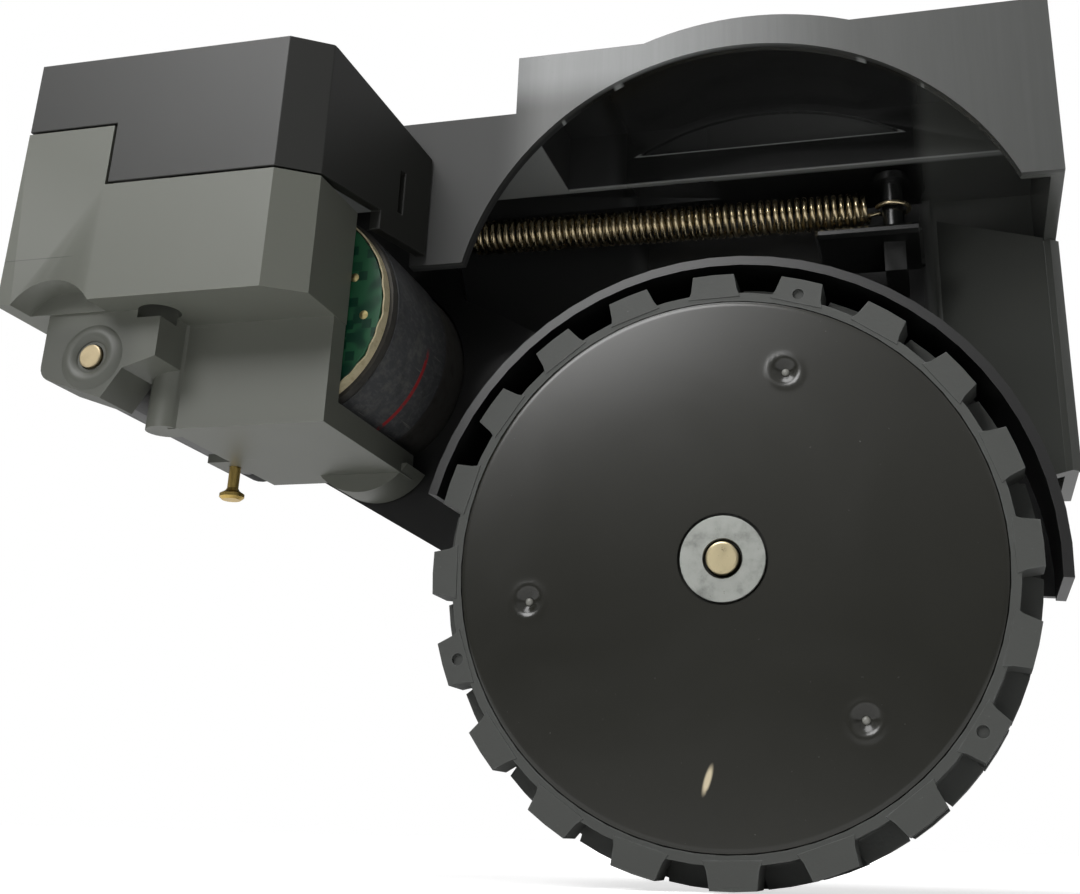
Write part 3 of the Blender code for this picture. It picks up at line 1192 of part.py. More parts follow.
def hardware():
    """Pin, clip and the fixed frame's screws."""
    pin_back = BARREL_BACK + GAP + REAR_EAR + 1.6 * MM
    pin = rod(PIN_RADIUS, PIN_FRONT, pin_back, PIVOT, 32)
    bevel = pin.modifiers.new("edge", "BEVEL")
    bevel.width = 0.2 * MM
    bevel.segments = 2
    bevel.limit_method = "ANGLE"
    clip_front = BARREL_BACK + GAP + REAR_EAR + GAP
    clip = turned(
        [
            (CLIP_RADIUS, clip_front),
            (CLIP_RADIUS, clip_front + CLIP_THICK),
            (PIN_RADIUS + RUNNING, clip_front + CLIP_THICK),
            (PIN_RADIUS + RUNNING, clip_front),
        ],
        PIVOT,
        32,
    )
    pieces = [smooth(finish(pin, "hinge_pin", STEEL)), smooth(finish(clip, "hinge_clip", STEEL))]
    for name, spot in zip(("well_screw_left", "well_screw_right"), WELL_SCREWS):
        shaft = rod(WELL_SCREW, COVER_BACK - 7 * MM, PLATE_BACK + 1 * MM, spot, 16)
        head = rod(WELL_SCREW_HEAD, PLATE_BACK + GAP, PLATE_BACK + GAP + 1.4 * MM, spot, 20)
        pieces.append(small_screw(name, shaft, head))
    seat = SEAM_LOW - 3.4 * MM - GAP
    shaft = upright(WELL_SCREW, seat - 1 * MM, SEAM_LOW + 8 * MM, POCKET, 16)
    head = upright(WELL_SCREW_HEAD, seat - 1.4 * MM, seat, POCKET, 20)
    pieces.append(small_screw("bracket_screw", shaft, head))
    captive = turned(
        [
            (0, CAPTIVE_HEAD_BOTTOM),
            (CAPTIVE_HEAD - 0.4 * MM, CAPTIVE_HEAD_BOTTOM),
            (CAPTIVE_HEAD, CAPTIVE_HEAD_BOTTOM + 0.35 * MM),
            (CAPTIVE_HEAD, CAPTIVE_HEAD_BOTTOM + 0.8 * MM),
            (CAPTIVE_RADIUS + 0.25 * MM, CAPTIVE_HEAD_BOTTOM + 1.2 * MM),
            (CAPTIVE_RADIUS, CAPTIVE_HEAD_BOTTOM + 1.6 * MM),
            (CAPTIVE_RADIUS, CAPTIVE_TOP - 0.3 * MM),
            (CAPTIVE_RADIUS - 0.3 * MM, CAPTIVE_TOP),
            (0, CAPTIVE_TOP),
        ],
        CAPTIVE,
        28,
        Matrix.Rotation(math.pi, 4, "X"),
    )
    pieces.append(smooth(finish(captive, "captive_screw", BRASS), 30))
    return pieces


def drop_switch():
    """The wheel-drop switch inside the cover's top, with the plunger that the arm works."""
    body = box(
        (SWITCH.x - 3.0 * MM, SWITCH.y - 2.9 * MM, SWITCH.z - 3.2 * MM),
        (SWITCH.x + 3.0 * MM, SWITCH.y + 2.9 * MM, BLOCK_TOP - BLOCK_WALL - GAP),
    )
    edge = body.modifiers.new("edge", "BEVEL")
    edge.width = 0.3 * MM
    well = box(
        (SWITCH.x - 0.9 * MM, SWITCH.y - 1.1 * MM, SWITCH.z - 4.0 * MM),
        (SWITCH.x + 0.9 * MM, SWITCH.y + 1.1 * MM, SWITCH.z - 0.6 * MM),
    )
    cut(body, well)
    plunger = box(
        (SWITCH.x - 0.6 * MM, SWITCH.y - 0.8 * MM, SWITCH.z - 4.2 * MM),
        (SWITCH.x + 0.6 * MM, SWITCH.y + 0.8 * MM, SWITCH.z - 2.0 * MM),
    )
    edge = plunger.modifiers.new("edge", "BEVEL")
    edge.width = 0.25 * MM
    edge.segments = 2
    return [finish(body, "drop_switch", BLACK), finish(plunger, "drop_switch_plunger", WHITE)]


def module_connector():
    """The contact block in the cover's top, with six blades."""
    low = BLOCK_TOP - 5.4 * MM
    shell = box(
        (PLUG_CENTRE.x - PLUG_HALF, PLUG_CENTRE.y - PLUG_DEPTH, low),
        (PLUG_CENTRE.x + PLUG_HALF, PLUG_CENTRE.y + PLUG_DEPTH, BLOCK_TOP + 0.6 * MM),
    )
    mouth = box(
        (PLUG_CENTRE.x - PLUG_HALF + 1.0 * MM, PLUG_CENTRE.y - PLUG_DEPTH + 0.9 * MM, low + 1.6 * MM),
        (PLUG_CENTRE.x + PLUG_HALF - 1.0 * MM, PLUG_CENTRE.y + PLUG_DEPTH - 0.9 * MM, BLOCK_TOP + 2 * MM),
    )
    cut(shell, mouth)
    blades = []
    slots = []
    for number in range(CONTACTS):
        x = PLUG_CENTRE.x + (number - (CONTACTS - 1) / 2) * CONTACT_PITCH
        low_corner = Vector((x - CONTACT_HALF, PLUG_CENTRE.y - CONTACT_DEPTH, low - 1.6 * MM))
        high_corner = Vector((x + CONTACT_HALF, PLUG_CENTRE.y + CONTACT_DEPTH, BLOCK_TOP - 0.4 * MM))
        blades.append(finish(box(low_corner, high_corner), "contact_" + str(number + 1), BRASS))
        play = Vector((GAP, GAP, 0))
        slots.append(box(low_corner - play, Vector((*(high_corner + play).xy, low + 3 * MM))))
    cut(shell, *slots)
    return [finish(shell, "module_connector", BLACK)] + blades


def empty(name, place, parent=None):
    made = bpy.data.objects.new(name, None)
    made.empty_display_size = 5 * MM
    bpy.context.scene.collection.objects.link(made)
    made.location = place
    bpy.context.view_layer.update()
    if parent:
        hold(parent, [made])
    return made


def hold(parent, pieces):
    """Parents pieces where they are, with their origins on the parent's axis."""
    bpy.context.view_layer.update()
    for piece in pieces:
        if piece.type == "MESH":
            origin = parent.matrix_world.translation.copy()
            shift = piece.matrix_world.inverted() @ origin
            piece.data.transform(Matrix.Translation(-shift))
            for child in piece.children:
                child.matrix_parent_inverse = Matrix.Translation(-shift) @ child.matrix_parent_inverse
            piece.matrix_world = Matrix.Translation(origin)
        piece.parent = parent
        piece.matrix_parent_inverse = parent.matrix_world.inverted()
    bpy.context.view_layer.update()


def main():
    frame = empty("module_frame", (0, 0, 0))
    arm = empty("arm_axis", PIVOT, frame)
    wheel_axis = empty("wheel_axis", AXLE, arm)
    motor_axis = empty("motor_axis", MOTOR, arm)
    gear_axes = [
        empty(name + "_gear_axis", place, arm)
        for name, place in (("first", FIRST), ("second", SECOND), ("third", THIRD))
    ]
    gears, pins = gear_train()
    hold(wheel_axis, wheel() + [gears["output_gear"]])
    hold(motor_axis, rotor(gears["motor_pinion"]))
    for axis, name in zip(gear_axes, ("first", "second", "third")):
        hold(axis, [gears[name + "_gear"]])
    front_bush = bush("front_axle_bush", CASE_FRONT + 0.2 * MM, CAVITY_FRONT + 0.6 * MM)
    rear_bush = bush("rear_axle_bush", COVER_FRONT, COVER_REAR)
    hold(
        arm,
        [gearbox_case(), gearbox_cover(), front_bush, rear_bush]
        + case_screws()
        + pins
        + motor()
        + encoder_board(),
    )
    switch, plunger = drop_switch()
    fixed = [wheel_well(), motor_cover(), pivot_bracket(), switch, plunger, tension_spring()]
    hold(frame, fixed + module_connector() + hardware())
    frame.location = -SEAT
    bpy.context.view_layer.update()


main()
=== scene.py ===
"""Looks of a robot vacuum wheel module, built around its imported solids."""

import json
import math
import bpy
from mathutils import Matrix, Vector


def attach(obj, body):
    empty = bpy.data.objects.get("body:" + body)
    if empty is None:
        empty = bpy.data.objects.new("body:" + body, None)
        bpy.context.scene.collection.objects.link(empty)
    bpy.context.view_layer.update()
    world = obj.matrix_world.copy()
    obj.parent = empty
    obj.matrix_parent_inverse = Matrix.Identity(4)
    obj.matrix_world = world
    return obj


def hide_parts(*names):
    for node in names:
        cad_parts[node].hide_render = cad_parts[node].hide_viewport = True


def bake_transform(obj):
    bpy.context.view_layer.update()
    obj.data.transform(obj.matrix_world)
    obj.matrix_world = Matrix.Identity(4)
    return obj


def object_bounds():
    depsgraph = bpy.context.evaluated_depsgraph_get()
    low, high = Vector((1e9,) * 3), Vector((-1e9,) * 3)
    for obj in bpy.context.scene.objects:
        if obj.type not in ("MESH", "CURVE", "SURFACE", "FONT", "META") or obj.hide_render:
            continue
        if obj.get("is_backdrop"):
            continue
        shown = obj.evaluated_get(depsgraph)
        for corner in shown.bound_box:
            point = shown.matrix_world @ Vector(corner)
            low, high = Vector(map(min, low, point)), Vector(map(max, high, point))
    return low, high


bl_info = {
    "name": "Robot vacuum wheel module",
    "version": (1, 0, 0),
    "blender": (4, 5, 0),
    "location": "View3D > Sidebar > Wheel module",
    "description": "Finishes and fine pieces of a sprung drive wheel unit",
    "category": "Object",
}

import bmesh
import bpy
from bpy.props import FloatProperty, FloatVectorProperty, IntProperty, PointerProperty
from mathutils import Euler, Matrix, Vector

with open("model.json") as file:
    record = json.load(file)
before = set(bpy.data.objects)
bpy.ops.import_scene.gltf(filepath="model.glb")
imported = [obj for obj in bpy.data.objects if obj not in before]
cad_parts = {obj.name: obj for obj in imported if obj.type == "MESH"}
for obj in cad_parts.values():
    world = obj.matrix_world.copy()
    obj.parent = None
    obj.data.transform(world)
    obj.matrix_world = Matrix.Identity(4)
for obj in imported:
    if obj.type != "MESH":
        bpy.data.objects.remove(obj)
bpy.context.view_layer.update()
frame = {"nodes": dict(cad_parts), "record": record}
MM = 0.001
TAU = 2 * math.pi
SEAT = Vector((30.0, 17.0, 70.5)) * MM
FACE_FRONT = -1.2
PIN_END = (-74.0, -20.9, 22.3)
ARCH_CENTRE = (3.6, 0.0, 31.7)
MOTOR_CENTRE = (-54.8, 0.0, 31.1)
SPRING_LEFT = (-43.5, 24.0, 55.4)
SPRING_RIGHT = (17.6, 24.0, 54.6)
BODY_OF = {node: body for body, nodes in frame["record"]["behaviour"]["bodies"].items() for node in nodes}


class Value:
    """A number in a material; an expression on values adds its Math nodes."""

    def __init__(self, finish, socket):
        self.finish = finish
        self.socket = socket

    def maths(self, operation, first, second):
        return self.finish.node("ShaderNodeMath", {"operation": operation}, {0: first, 1: second})

    def __add__(self, other):
        return self.maths("ADD", self, other)

    __radd__ = __add__

    def __mul__(self, other):
        return self.maths("MULTIPLY", self, other)

    __rmul__ = __mul__

    def __sub__(self, other):
        return self.maths("SUBTRACT", self, other)

    def __rsub__(self, other):
        return self.maths("SUBTRACT", other, self)

    def __pow__(self, other):
        return self.maths("POWER", self, other)

    def between(self, low, high):
        """0 below low, 1 above high and a smooth rise between them."""
        settings = {"interpolation_type": "SMOOTHSTEP", "clamp": True}
        inputs = {"Value": self, "From Min": low, "From Max": high}
        return self.finish.node("ShaderNodeMapRange", settings, inputs)


class Shading:
    """A node tree being put together."""

    def __init__(self, tree):
        self.tree = tree

    def node(self, kind, settings=None, inputs=None, output=0):
        """Adds a node: its settings first, then the values or links of its sockets."""
        made = self.tree.nodes.new(kind)
        for name, value in (settings or {}).items():
            if name == "stops":
                ramp = made.color_ramp
                while len(ramp.elements) < len(value):
                    ramp.elements.new(1.0)
                for stop, (position, colour) in zip(ramp.elements, value):
                    stop.position = position
                    stop.color = (*colour, 1.0)
            else:
                setattr(made, name, value)
        for name, value in (inputs or {}).items():
            if isinstance(value, Value):
                self.tree.links.new(value.socket, made.inputs[name])
            else:
                made.inputs[name].default_value = value
        return Value(self, made.outputs[output])

    def axis(self, name):
        return self.node("ShaderNodeSeparateXYZ", None, {0: self.place}, output=name)


class Finish(Shading):
    """One material being put together round its Principled shader."""

    def __init__(self, name, colour, roughness, metallic=0.0, coat=0.0):
        self.material = bpy.data.materials.new(name)
        self.material.use_nodes = True
        super().__init__(self.material.node_tree)
        self.shader = self.tree.nodes["Principled BSDF"]
        self.colour = (*colour, 1.0)
        self.set("Base Color", self.colour)
        self.set("Roughness", roughness)
        self.set("Metallic", metallic)
        self.set("Coat Weight", coat)
        self.place = self.node("ShaderNodeTexCoord", output="Object")

    def set(self, name, value):
        socket = self.shader.inputs[name]
        if isinstance(value, Value):
            self.tree.links.new(value.socket, socket)
        else:
            socket.default_value = value

    def noise(self, scale, detail=3.0, roughness=0.5, stretch=(1, 1, 1), warp=0.0):
        """Noise of the given scale per metre, stretched along the axes."""
        place = self.node(
            "ShaderNodeVectorMath", {"operation": "MULTIPLY"}, {0: self.place, 1: tuple(stretch)}
        )
        inputs = {"Vector": place, "Scale": scale, "Detail": detail, "Roughness": roughness}
        return self.node("ShaderNodeTexNoise", None, {**inputs, "Distortion": warp})

    def mix(self, factor, first, second):
        """A colour between two, by a factor."""
        return self.node(
            "ShaderNodeMix", {"data_type": "RGBA"}, {0: factor, 6: first, 7: second}, output=2
        )

    def tint(self, factor, colour):
        """Blends the base colour towards another where the factor is high."""
        socket = self.shader.inputs["Base Color"]
        now = Value(self, socket.links[0].from_socket) if socket.is_linked else self.colour
        self.set("Base Color", self.mix(factor, now, (*colour, 1.0)))

    def roughness(self):
        return Value(self, self.shader.inputs["Roughness"].links[0].from_socket)

    def bump(self, height, strength, distance):
        socket = self.shader.inputs["Normal"]
        inputs = {"Height": height, "Strength": strength, "Distance": distance}
        if socket.is_linked:
            inputs["Normal"] = Value(self, socket.links[0].from_socket)
        self.set("Normal", self.node("ShaderNodeBump", None, inputs))

    def worn_edges(self, reach=0.35 * MM):
        """High along the piece's edges, broken up by noise."""
        rounded = self.node("ShaderNodeBevel", {"samples": 4}, {"Radius": reach})
        flat = self.node("ShaderNodeNewGeometry", output="Normal")
        settings = {"operation": "DOT_PRODUCT"}
        alike = self.node("ShaderNodeVectorMath", settings, {0: rounded, 1: flat}, output="Value")
        return alike.between(0.995, 0.9) * self.noise(500, 4, 0.6).between(0.4, 0.65)


def scratches(finish, along, scale=160, limit=0.7):
    """Thin long marks that run roughly along an axis."""
    stretch = [8.0, 8.0, 8.0]
    stretch[along] = 0.35
    lines = finish.noise(scale, 2, 0.5, stretch, 0.04)
    patches = finish.noise(90, 2)
    return lines.between(limit, limit + 0.05) * patches.between(0.45, 0.6)


def moulded(name, colour, roughness, grain=0.35, scuffs=0.35, dust=0.25):
    """Moulded engineering plastic: fine spark-eroded grain, cloudy sheen, rubbed edges, fine scratches."""
    finish = Finish(name, colour, roughness)
    clouds = finish.noise(26, 3, 0.55)
    fine = finish.noise(5200, 2, 0.5)
    light = tuple(min(1.0, c * 1.7 + 0.015) for c in colour)
    finish.tint(clouds.between(0.3, 0.8) * 0.1, tuple(c * 0.75 for c in colour))
    marks = scratches(finish, 0) + scratches(finish, 2, 120, 0.74)
    finish.tint(marks * scuffs * 0.5, light)
    finish.tint(finish.worn_edges() * scuffs, light)
    powder = finish.noise(2600, 5, 0.7).between(0.7, 0.82) * finish.noise(40, 3).between(0.5, 0.7)
    finish.tint(powder * dust, (0.3, 0.29, 0.27))
    finish.set("Roughness", clouds * 0.1 + (roughness - 0.05) + powder * 0.12 - marks * 0.06)
    finish.bump(fine, grain * 0.4, 0.02 * MM)
    finish.bump(finish.noise(60, 1), 0.08, 0.1 * MM)
    return finish


def polished_plastic(name, colour, roughness):
    """The wheel disc's polished plastic, with smears, a faint haze and fine specks."""
    finish = Finish(name, colour, roughness)
    smear = finish.noise(34, 5, 0.62, (1, 1, 1), 0.8)
    haze = finish.noise(14, 3)
    finish.tint(haze.between(0.4, 0.7) * 0.4, tuple(c * 1.35 for c in colour))
    specks = finish.noise(2600, 3, 0.6).between(0.73, 0.78) * smear.between(0.4, 0.6)
    finish.tint(specks * 0.3, (0.3, 0.3, 0.28))
    finish.set("Roughness", smear * 0.14 + (roughness - 0.06) + specks * 0.2)
    finish.bump(finish.noise(26, 2), 0.25, 0.3 * MM)
    return finish


def rubber(name, colour):
    """Matt tyre rubber: dusty bloom, pale specks and scuffed lug edges."""
    finish = Finish(name, colour, 0.62)
    bloom = finish.noise(70, 5, 0.65)
    finish.tint(bloom.between(0.4, 0.75) * 0.25, tuple(c * 1.35 for c in colour))
    finish.tint(finish.worn_edges() * 0.3, (0.13, 0.135, 0.135))
    finish.tint(finish.noise(1900, 4, 0.7).between(0.66, 0.78) * 0.25, (0.22, 0.22, 0.21))
    finish.set("Roughness", bloom * 0.25 + 0.5)
    finish.bump(finish.noise(2400, 4, 0.6), 0.3, 0.05 * MM)
    finish.bump(finish.noise(300, 3), 0.3, 0.1 * MM)
    return finish


def metal(name, colour, roughness, turned=False, dull=0.0, stain=(0.12, 0.1, 0.08)):
    """Plated or drawn metal with fine lines, patches of dullness and dark specks."""
    finish = Finish(name, colour, roughness, 1.0)
    lines = finish.noise(900, 3, 0.6, (1, 0.08, 1) if turned else (1, 1, 0.08))
    patches = finish.noise(420, 4, 0.65)
    finish.tint(patches.between(0.45, 0.8) * (0.25 + dull), tuple(c * 0.55 for c in colour))
    finish.tint(finish.noise(2200, 3, 0.6).between(0.68, 0.75) * 0.5, stain)
    finish.set("Roughness", patches * 0.25 + lines * 0.12 + (roughness - 0.16) + dull * 0.2)
    finish.bump(lines, 0.25, 0.02 * MM)
    return finish


def circuit_board(name):
    """Green solder mask over copper tracks, with darker patches."""
    finish = Finish(name, (0.0, 0.032, 0.016), 0.32)
    grid = finish.node(
        "ShaderNodeTexVoronoi", {"distance": "CHEBYCHEV"}, {"Vector": finish.place, "Scale": 520.0}
    )
    tracks = grid.between(0.30, 0.34) * finish.noise(160, 2).between(0.4, 0.5)
    finish.tint(tracks * 0.6, (0.02, 0.12, 0.05))
    finish.tint(finish.noise(600, 3).between(0.6, 0.75) * 0.3, (0.0, 0.02, 0.01))
    finish.set("Roughness", finish.noise(500, 3) * 0.2 + 0.22)
    finish.bump(tracks, 0.4, 0.04 * MM)
    return finish


def paper(name, colour, edge):
    """Brittle insulating paper or label stock with torn fibres."""
    finish = Finish(name, colour, 0.75)
    fibres = finish.noise(1300, 5, 0.7, (1, 0.5, 1))
    finish.tint(fibres.between(0.45, 0.7) * 0.6, edge)
    finish.tint(finish.noise(260, 3).between(0.55, 0.7) * 0.4, tuple(c * 0.4 for c in colour))
    finish.bump(fibres, 0.4, 0.08 * MM)
    return finish


def place_in_module(x, y, z):
    """Millimetres from the wheel's outer face at the axle to the module's frame."""
    return Vector((x, y, z)) * MM - SEAT


def in_mm(*points):
    """A profile's (radius, depth) points, given in millimetres."""
    return [(radius * MM, depth * MM) for radius, depth in points]


def new_piece(name, mesh, body, material, smooth=35, stands_for=()):
    """Puts a mesh into the scene on its body with its finish."""
    made = bpy.data.objects.new(name, mesh)
    bpy.context.scene.collection.objects.link(made)
    mesh.materials.clear()
    mesh.materials.append(material)
    mesh.shade_smooth()
    mesh.set_sharp_from_angle(angle=math.radians(smooth))
    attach(made, body)
    if stands_for:
        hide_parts(*stands_for)
    return made


def softened(node, material, width, segments=2, smooth=32, angle=28):
    """A copy of a solid with its sharp edges rounded as the moulding's are, shown in its place."""
    work = bmesh.new()
    work.from_mesh(frame["nodes"][node].data)
    bmesh.ops.remove_doubles(work, verts=work.verts, dist=2e-6)
    bmesh.ops.dissolve_limit(work, angle_limit=math.radians(0.6), verts=work.verts, edges=work.edges)
    mesh = bpy.data.meshes.new(node + "_shell")
    work.to_mesh(mesh)
    work.free()
    made = new_piece(node + "_shell", mesh, BODY_OF[node], material, smooth, (node,))
    rounding = made.modifiers.new("rounded_edges", "BEVEL")
    rounding.width = width
    rounding.segments = segments
    rounding.limit_method = "ANGLE"
    rounding.angle_limit = math.radians(angle)
    rounding.harden_normals = True
    return made


def paint(node, material):
    solid = frame["nodes"][node]
    solid.data.materials.clear()
    solid.data.materials.append(material)


def turned_mesh(name, profile, centre, steps):
    """A closed profile of (radius, depth) points turned about the Y axis through a place."""
    work = bmesh.new()
    rings = []
    for step in range(steps):
        angle = TAU * step / steps
        out = Vector((math.cos(angle), 0, math.sin(angle)))
        rings.append([work.verts.new(centre + out * r + Vector((0, depth, 0))) for r, depth in profile])
    count = len(profile)
    for step in range(steps):
        here, after = rings[step], rings[(step + 1) % steps]
        for i in range(count):
            j = (i + 1) % count
            work.faces.new((here[i], here[j], after[j], after[i]))
    bmesh.ops.remove_doubles(work, verts=work.verts, dist=1e-7)
    bmesh.ops.recalc_face_normals(work, faces=work.faces)
    mesh = bpy.data.meshes.new(name)
    work.to_mesh(mesh)
    work.free()
    return mesh


def wire_mesh(name, points, radius, sides=8):
    """A round wire through points, with closed ends."""
    curve = bpy.data.curves.new(name, "CURVE")
    curve.dimensions = "3D"
    curve.bevel_depth = radius
    curve.bevel_resolution = sides // 2 - 2
    curve.use_fill_caps = True
    spline = curve.splines.new("POLY")
    spline.points.add(len(points) - 1)
    for point, spot in zip(spline.points, points):
        point.co = (*spot, 1)
    holder = bpy.data.objects.new(name, curve)
    bpy.context.scene.collection.objects.link(holder)
    bpy.context.view_layer.update()
    mesh = bpy.data.meshes.new_from_object(holder.evaluated_get(bpy.context.evaluated_depsgraph_get()))
    bpy.data.objects.remove(holder, do_unlink=True)
    bpy.data.curves.remove(curve)
    return mesh


class MouldingLooks(bpy.types.PropertyGroup):
    """Colours of the moulded pieces."""

    well_colour: FloatVectorProperty(
        name="Wheel well", description="Colour of the wheel well",
        subtype="COLOR", default=(0.046, 0.048, 0.045),
    )
    cover_colour: FloatVectorProperty(
        name="Motor cover", description="Colour of the motor cover",
        subtype="COLOR", default=(0.0068, 0.0071, 0.0054),
    )
    bracket_colour: FloatVectorProperty(
        name="Pivot bracket", description="Colour of the bracket",
        subtype="COLOR", default=(0.112, 0.117, 0.098),
    )
    # Painted shade: this dark colour stands for the shade inside the wheel well.
    inside_colour: FloatVectorProperty(
        name="Well inside", description="Colour inside the wheel well",
        subtype="COLOR", default=(0.006, 0.0064, 0.006),
    )
    arm_colour: FloatVectorProperty(
        name="Arm", description="Colour of the gearbox arm",
        subtype="COLOR", default=(0.005, 0.005, 0.005),
    )
    edge_radius: FloatProperty(
        name="Edge radius", description="Rounding of the moulded edges",
        subtype="DISTANCE", default=0.25 * MM,
    )


class WheelLooks(bpy.types.PropertyGroup):
    """Sizes and colours of the wheel."""

    disc_colour: FloatVectorProperty(
        name="Disc", description="Colour of the wheel's disc",
        subtype="COLOR", default=(0.0155, 0.0155, 0.0122),
    )
    disc_gloss: FloatProperty(
        name="Disc roughness", description="Roughness of the disc's polish", default=0.2, min=0.0, max=1.0
    )
    tyre_colour: FloatVectorProperty(
        name="Tyre", description="Colour of the rubber",
        subtype="COLOR", default=(0.041, 0.0435, 0.0395),
    )
    lug_edge: FloatProperty(
        name="Lug edge", description="Rounding of the tyre's lugs",
        subtype="DISTANCE", default=0.3 * MM,
    )
    dimple_depth: FloatProperty(
        name="Dimple depth", description="Depth of the disc's gate marks",
        subtype="DISTANCE", default=1.0 * MM,
    )


class SpringLooks(bpy.types.PropertyGroup):
    """Sizes and colour of the tension spring."""

    coil_radius: FloatProperty(
        name="Coil radius", description="Outer radius of the coil",
        subtype="DISTANCE", default=2.65 * MM,
    )
    wire_radius: FloatProperty(
        name="Wire radius", description="Radius of the wire",
        subtype="DISTANCE", default=0.36 * MM,
    )
    turns: IntProperty(name="Turns", description="Turns of the coil", default=58, min=10, max=90)
    wire_colour: FloatVectorProperty(
        name="Wire", description="Colour of the wire",
        subtype="COLOR", default=(0.56, 0.47, 0.3),
    )


class StageLooks(bpy.types.PropertyGroup):
    """Floor and camera."""

    floor_shade: FloatProperty(
        name="Floor", description="Brightness of the floor", default=0.9, min=0.0, max=1.0
    )
    lens: FloatProperty(name="Lens", description="Focal length in millimetres", default=45.119)


class WHEELMODULE_OT_mouldings(bpy.types.Operator):
    """Wheel well, motor cover, pivot bracket and gearbox arm with rounded edges and moulded finishes"""

    bl_idname = "wheel_module.mouldings"
    bl_label = "Mouldings"

    def execute(self, context):
        looks = context.scene.wheel_module_mouldings
        edge = looks.edge_radius
        well = moulded("well_plastic", tuple(looks.well_colour), 0.42, 0.4, 0.3, 0.22)
        # Painted shade and painted highlights on the well, with its scuffs and specks.
        self.weather(well, looks.inside_colour)
        cover = moulded("cover_plastic_finish", tuple(looks.cover_colour), 0.45, 0.45, 0.55, 0.15)
        bracket = moulded("bracket_plastic", tuple(looks.bracket_colour), 0.46, 0.4, 0.3, 0.12)
        # Painted shade on the bracket's step, ear and underside.
        self.crease(bracket)
        arm = moulded("arm_plastic_finish", tuple(looks.arm_colour), 0.34, 0.25, 0.3, 0.2)
        softened("wheel_well_housing", well.material, edge * 0.7)
        softened("motor_cover", cover.material, edge * 1.4)
        softened("pivot_bracket", bracket.material, edge * 1.3)
        outline = in_mm((2.0, 0.2), (2.0, 0), (2.5, -0.4), (3.3, -0.5), (4.3, 0.2))
        boss = turned_mesh("pin_boss", outline, place_in_module(*PIN_END), 72)
        new_piece("pin_boss", boss, "frame", bracket.material, 50)
        softened("gearbox_case", arm.material, edge * 0.8)
        softened("gearbox_cover", arm.material, edge * 0.8)
        return {"FINISHED"}

    def crease(self, bracket):
        """Painted shade: a thin shade line along the fine step across the bracket's left end, slightly darker
        below it there, and painted shade on its ear and underside.
        """
        line = place_in_module(-76.5, 0, 34.0)
        half_step, half_end = 0.1 * MM, 1.5 * MM
        step = bracket.axis("Z").between(line.z - half_step, line.z + half_step)
        end = bracket.axis("X").between(line.x + half_end, line.x - half_end)
        bracket.tint(step * (1 - step) * 4 * end * 0.7, (0.03, 0.032, 0.026))
        bracket.tint((1 - step) * end * 0.1, (0.05, 0.052, 0.044))
        under_shade = bracket.axis("Z").between(line.z - 6.0 * MM, line.z - 9.0 * MM)
        ear_shade = bracket.axis("X").between(line.x + 10.0 * MM, line.x + 6.0 * MM)
        bracket.tint(under_shade * (ear_shade * 0.4 + 0.12), (0.045, 0.047, 0.04))

    def weather(self, well, inside):
        """Painted shade inside the well, its right part painted lighter as if lit; painted shade on the front
        plate's wing; a painted highlight at its upper left over faint scuff streaks; dark specks; a glossier
        inside.
        """
        x, y, z = (well.axis(name) for name in "XYZ")
        face = place_in_module(0, FACE_FRONT, 0).y
        behind = y.between(face + 0.3 * MM, face + 1.2 * MM)
        front = 1 - behind
        # Painted shade: the plate's wing is painted darker.
        wing_shade = x.between(-53 * MM, -61 * MM) * front
        well.tint(wing_shade * 0.85, (0.012, 0.0125, 0.0115))
        # Faint scuff streaks all over the front plate, made stronger at its upper left as painted sheen; the
        # upper left is also painted pale as a highlight.
        scuff_and_sheen_streaks = well.noise(420, 4, 0.7, (3.0, 1.0, 0.1)).between(0.3, 0.8)
        painted_highlight = x.between(-10 * MM, -45 * MM) * z.between(-9 * MM, -3 * MM)
        well.tint((painted_highlight * 0.1 + 0.02) * scuff_and_sheen_streaks * front * (1 - wing_shade), (0.4, 0.41, 0.41))
        well.tint(painted_highlight * front * 0.5, (0.36, 0.37, 0.37))
        specks = well.noise(900, 4, 0.7).between(0.66, 0.74) * well.noise(60, 2).between(0.5, 0.65)
        well.tint(specks * front * 0.6, (0.015, 0.015, 0.014))
        # Painted shade inside the well, with less of it at the right, where the inside is painted lighter
        # instead, as if lit.
        right = x.between(-6 * MM, -3 * MM)
        well.tint(behind * (0.95 - right * 0.75), tuple(inside))
        well.tint(behind * right * 0.5, (0.09, 0.094, 0.085))
        self.screen_lines(well, behind, x, y, z)
        roof = behind * x.between(-47 * MM, -51 * MM)
        old = well.roughness()
        well.set("Roughness", old * (1 - behind * 0.4) + roof * 0.6 + wing_shade * 0.2)

    def screen_lines(self, well, behind, x, y, z):
        """Painted light on the crescent pressed into the screen, a painted highlight along its lower lip, and
        a painted highlight along the shelf's hem.
        """
        centre = place_in_module(*ARCH_CENTRE)
        reach = ((x - centre.x) * (x - centre.x) + (z - centre.z) * (z - centre.z)) ** 0.5
        base = place_in_module(0, 0, 64.8).z
        # Painted light: the crescent is painted lighter, with a bright painted line along its lower lip.
        crescent_light = behind * reach.between(38.5 * MM, 38.3 * MM) * z.between(base, base + 0.2 * MM)
        well.tint(crescent_light * x.between(-45 * MM, -12 * MM) * 0.7, (0.05, 0.052, 0.05))
        band = z.between(base - 0.25 * MM, base) * z.between(base + 0.5 * MM, base + 0.2 * MM)
        lip_highlight = behind * reach.between(38.6 * MM, 38.3 * MM) * band
        well.tint(lip_highlight * 0.8, (0.35, 0.36, 0.35))
        # Painted highlight: a bright line along the shelf's hem.
        ledge = place_in_module(0, 0, 60.1).z
        edge = z.between(ledge - 0.1 * MM, ledge) * z.between(ledge + 0.35 * MM, ledge + 0.15 * MM)
        well.tint(behind * edge * y.between(4.5 * MM, 3.5 * MM) * 0.7, (0.3, 0.31, 0.3))


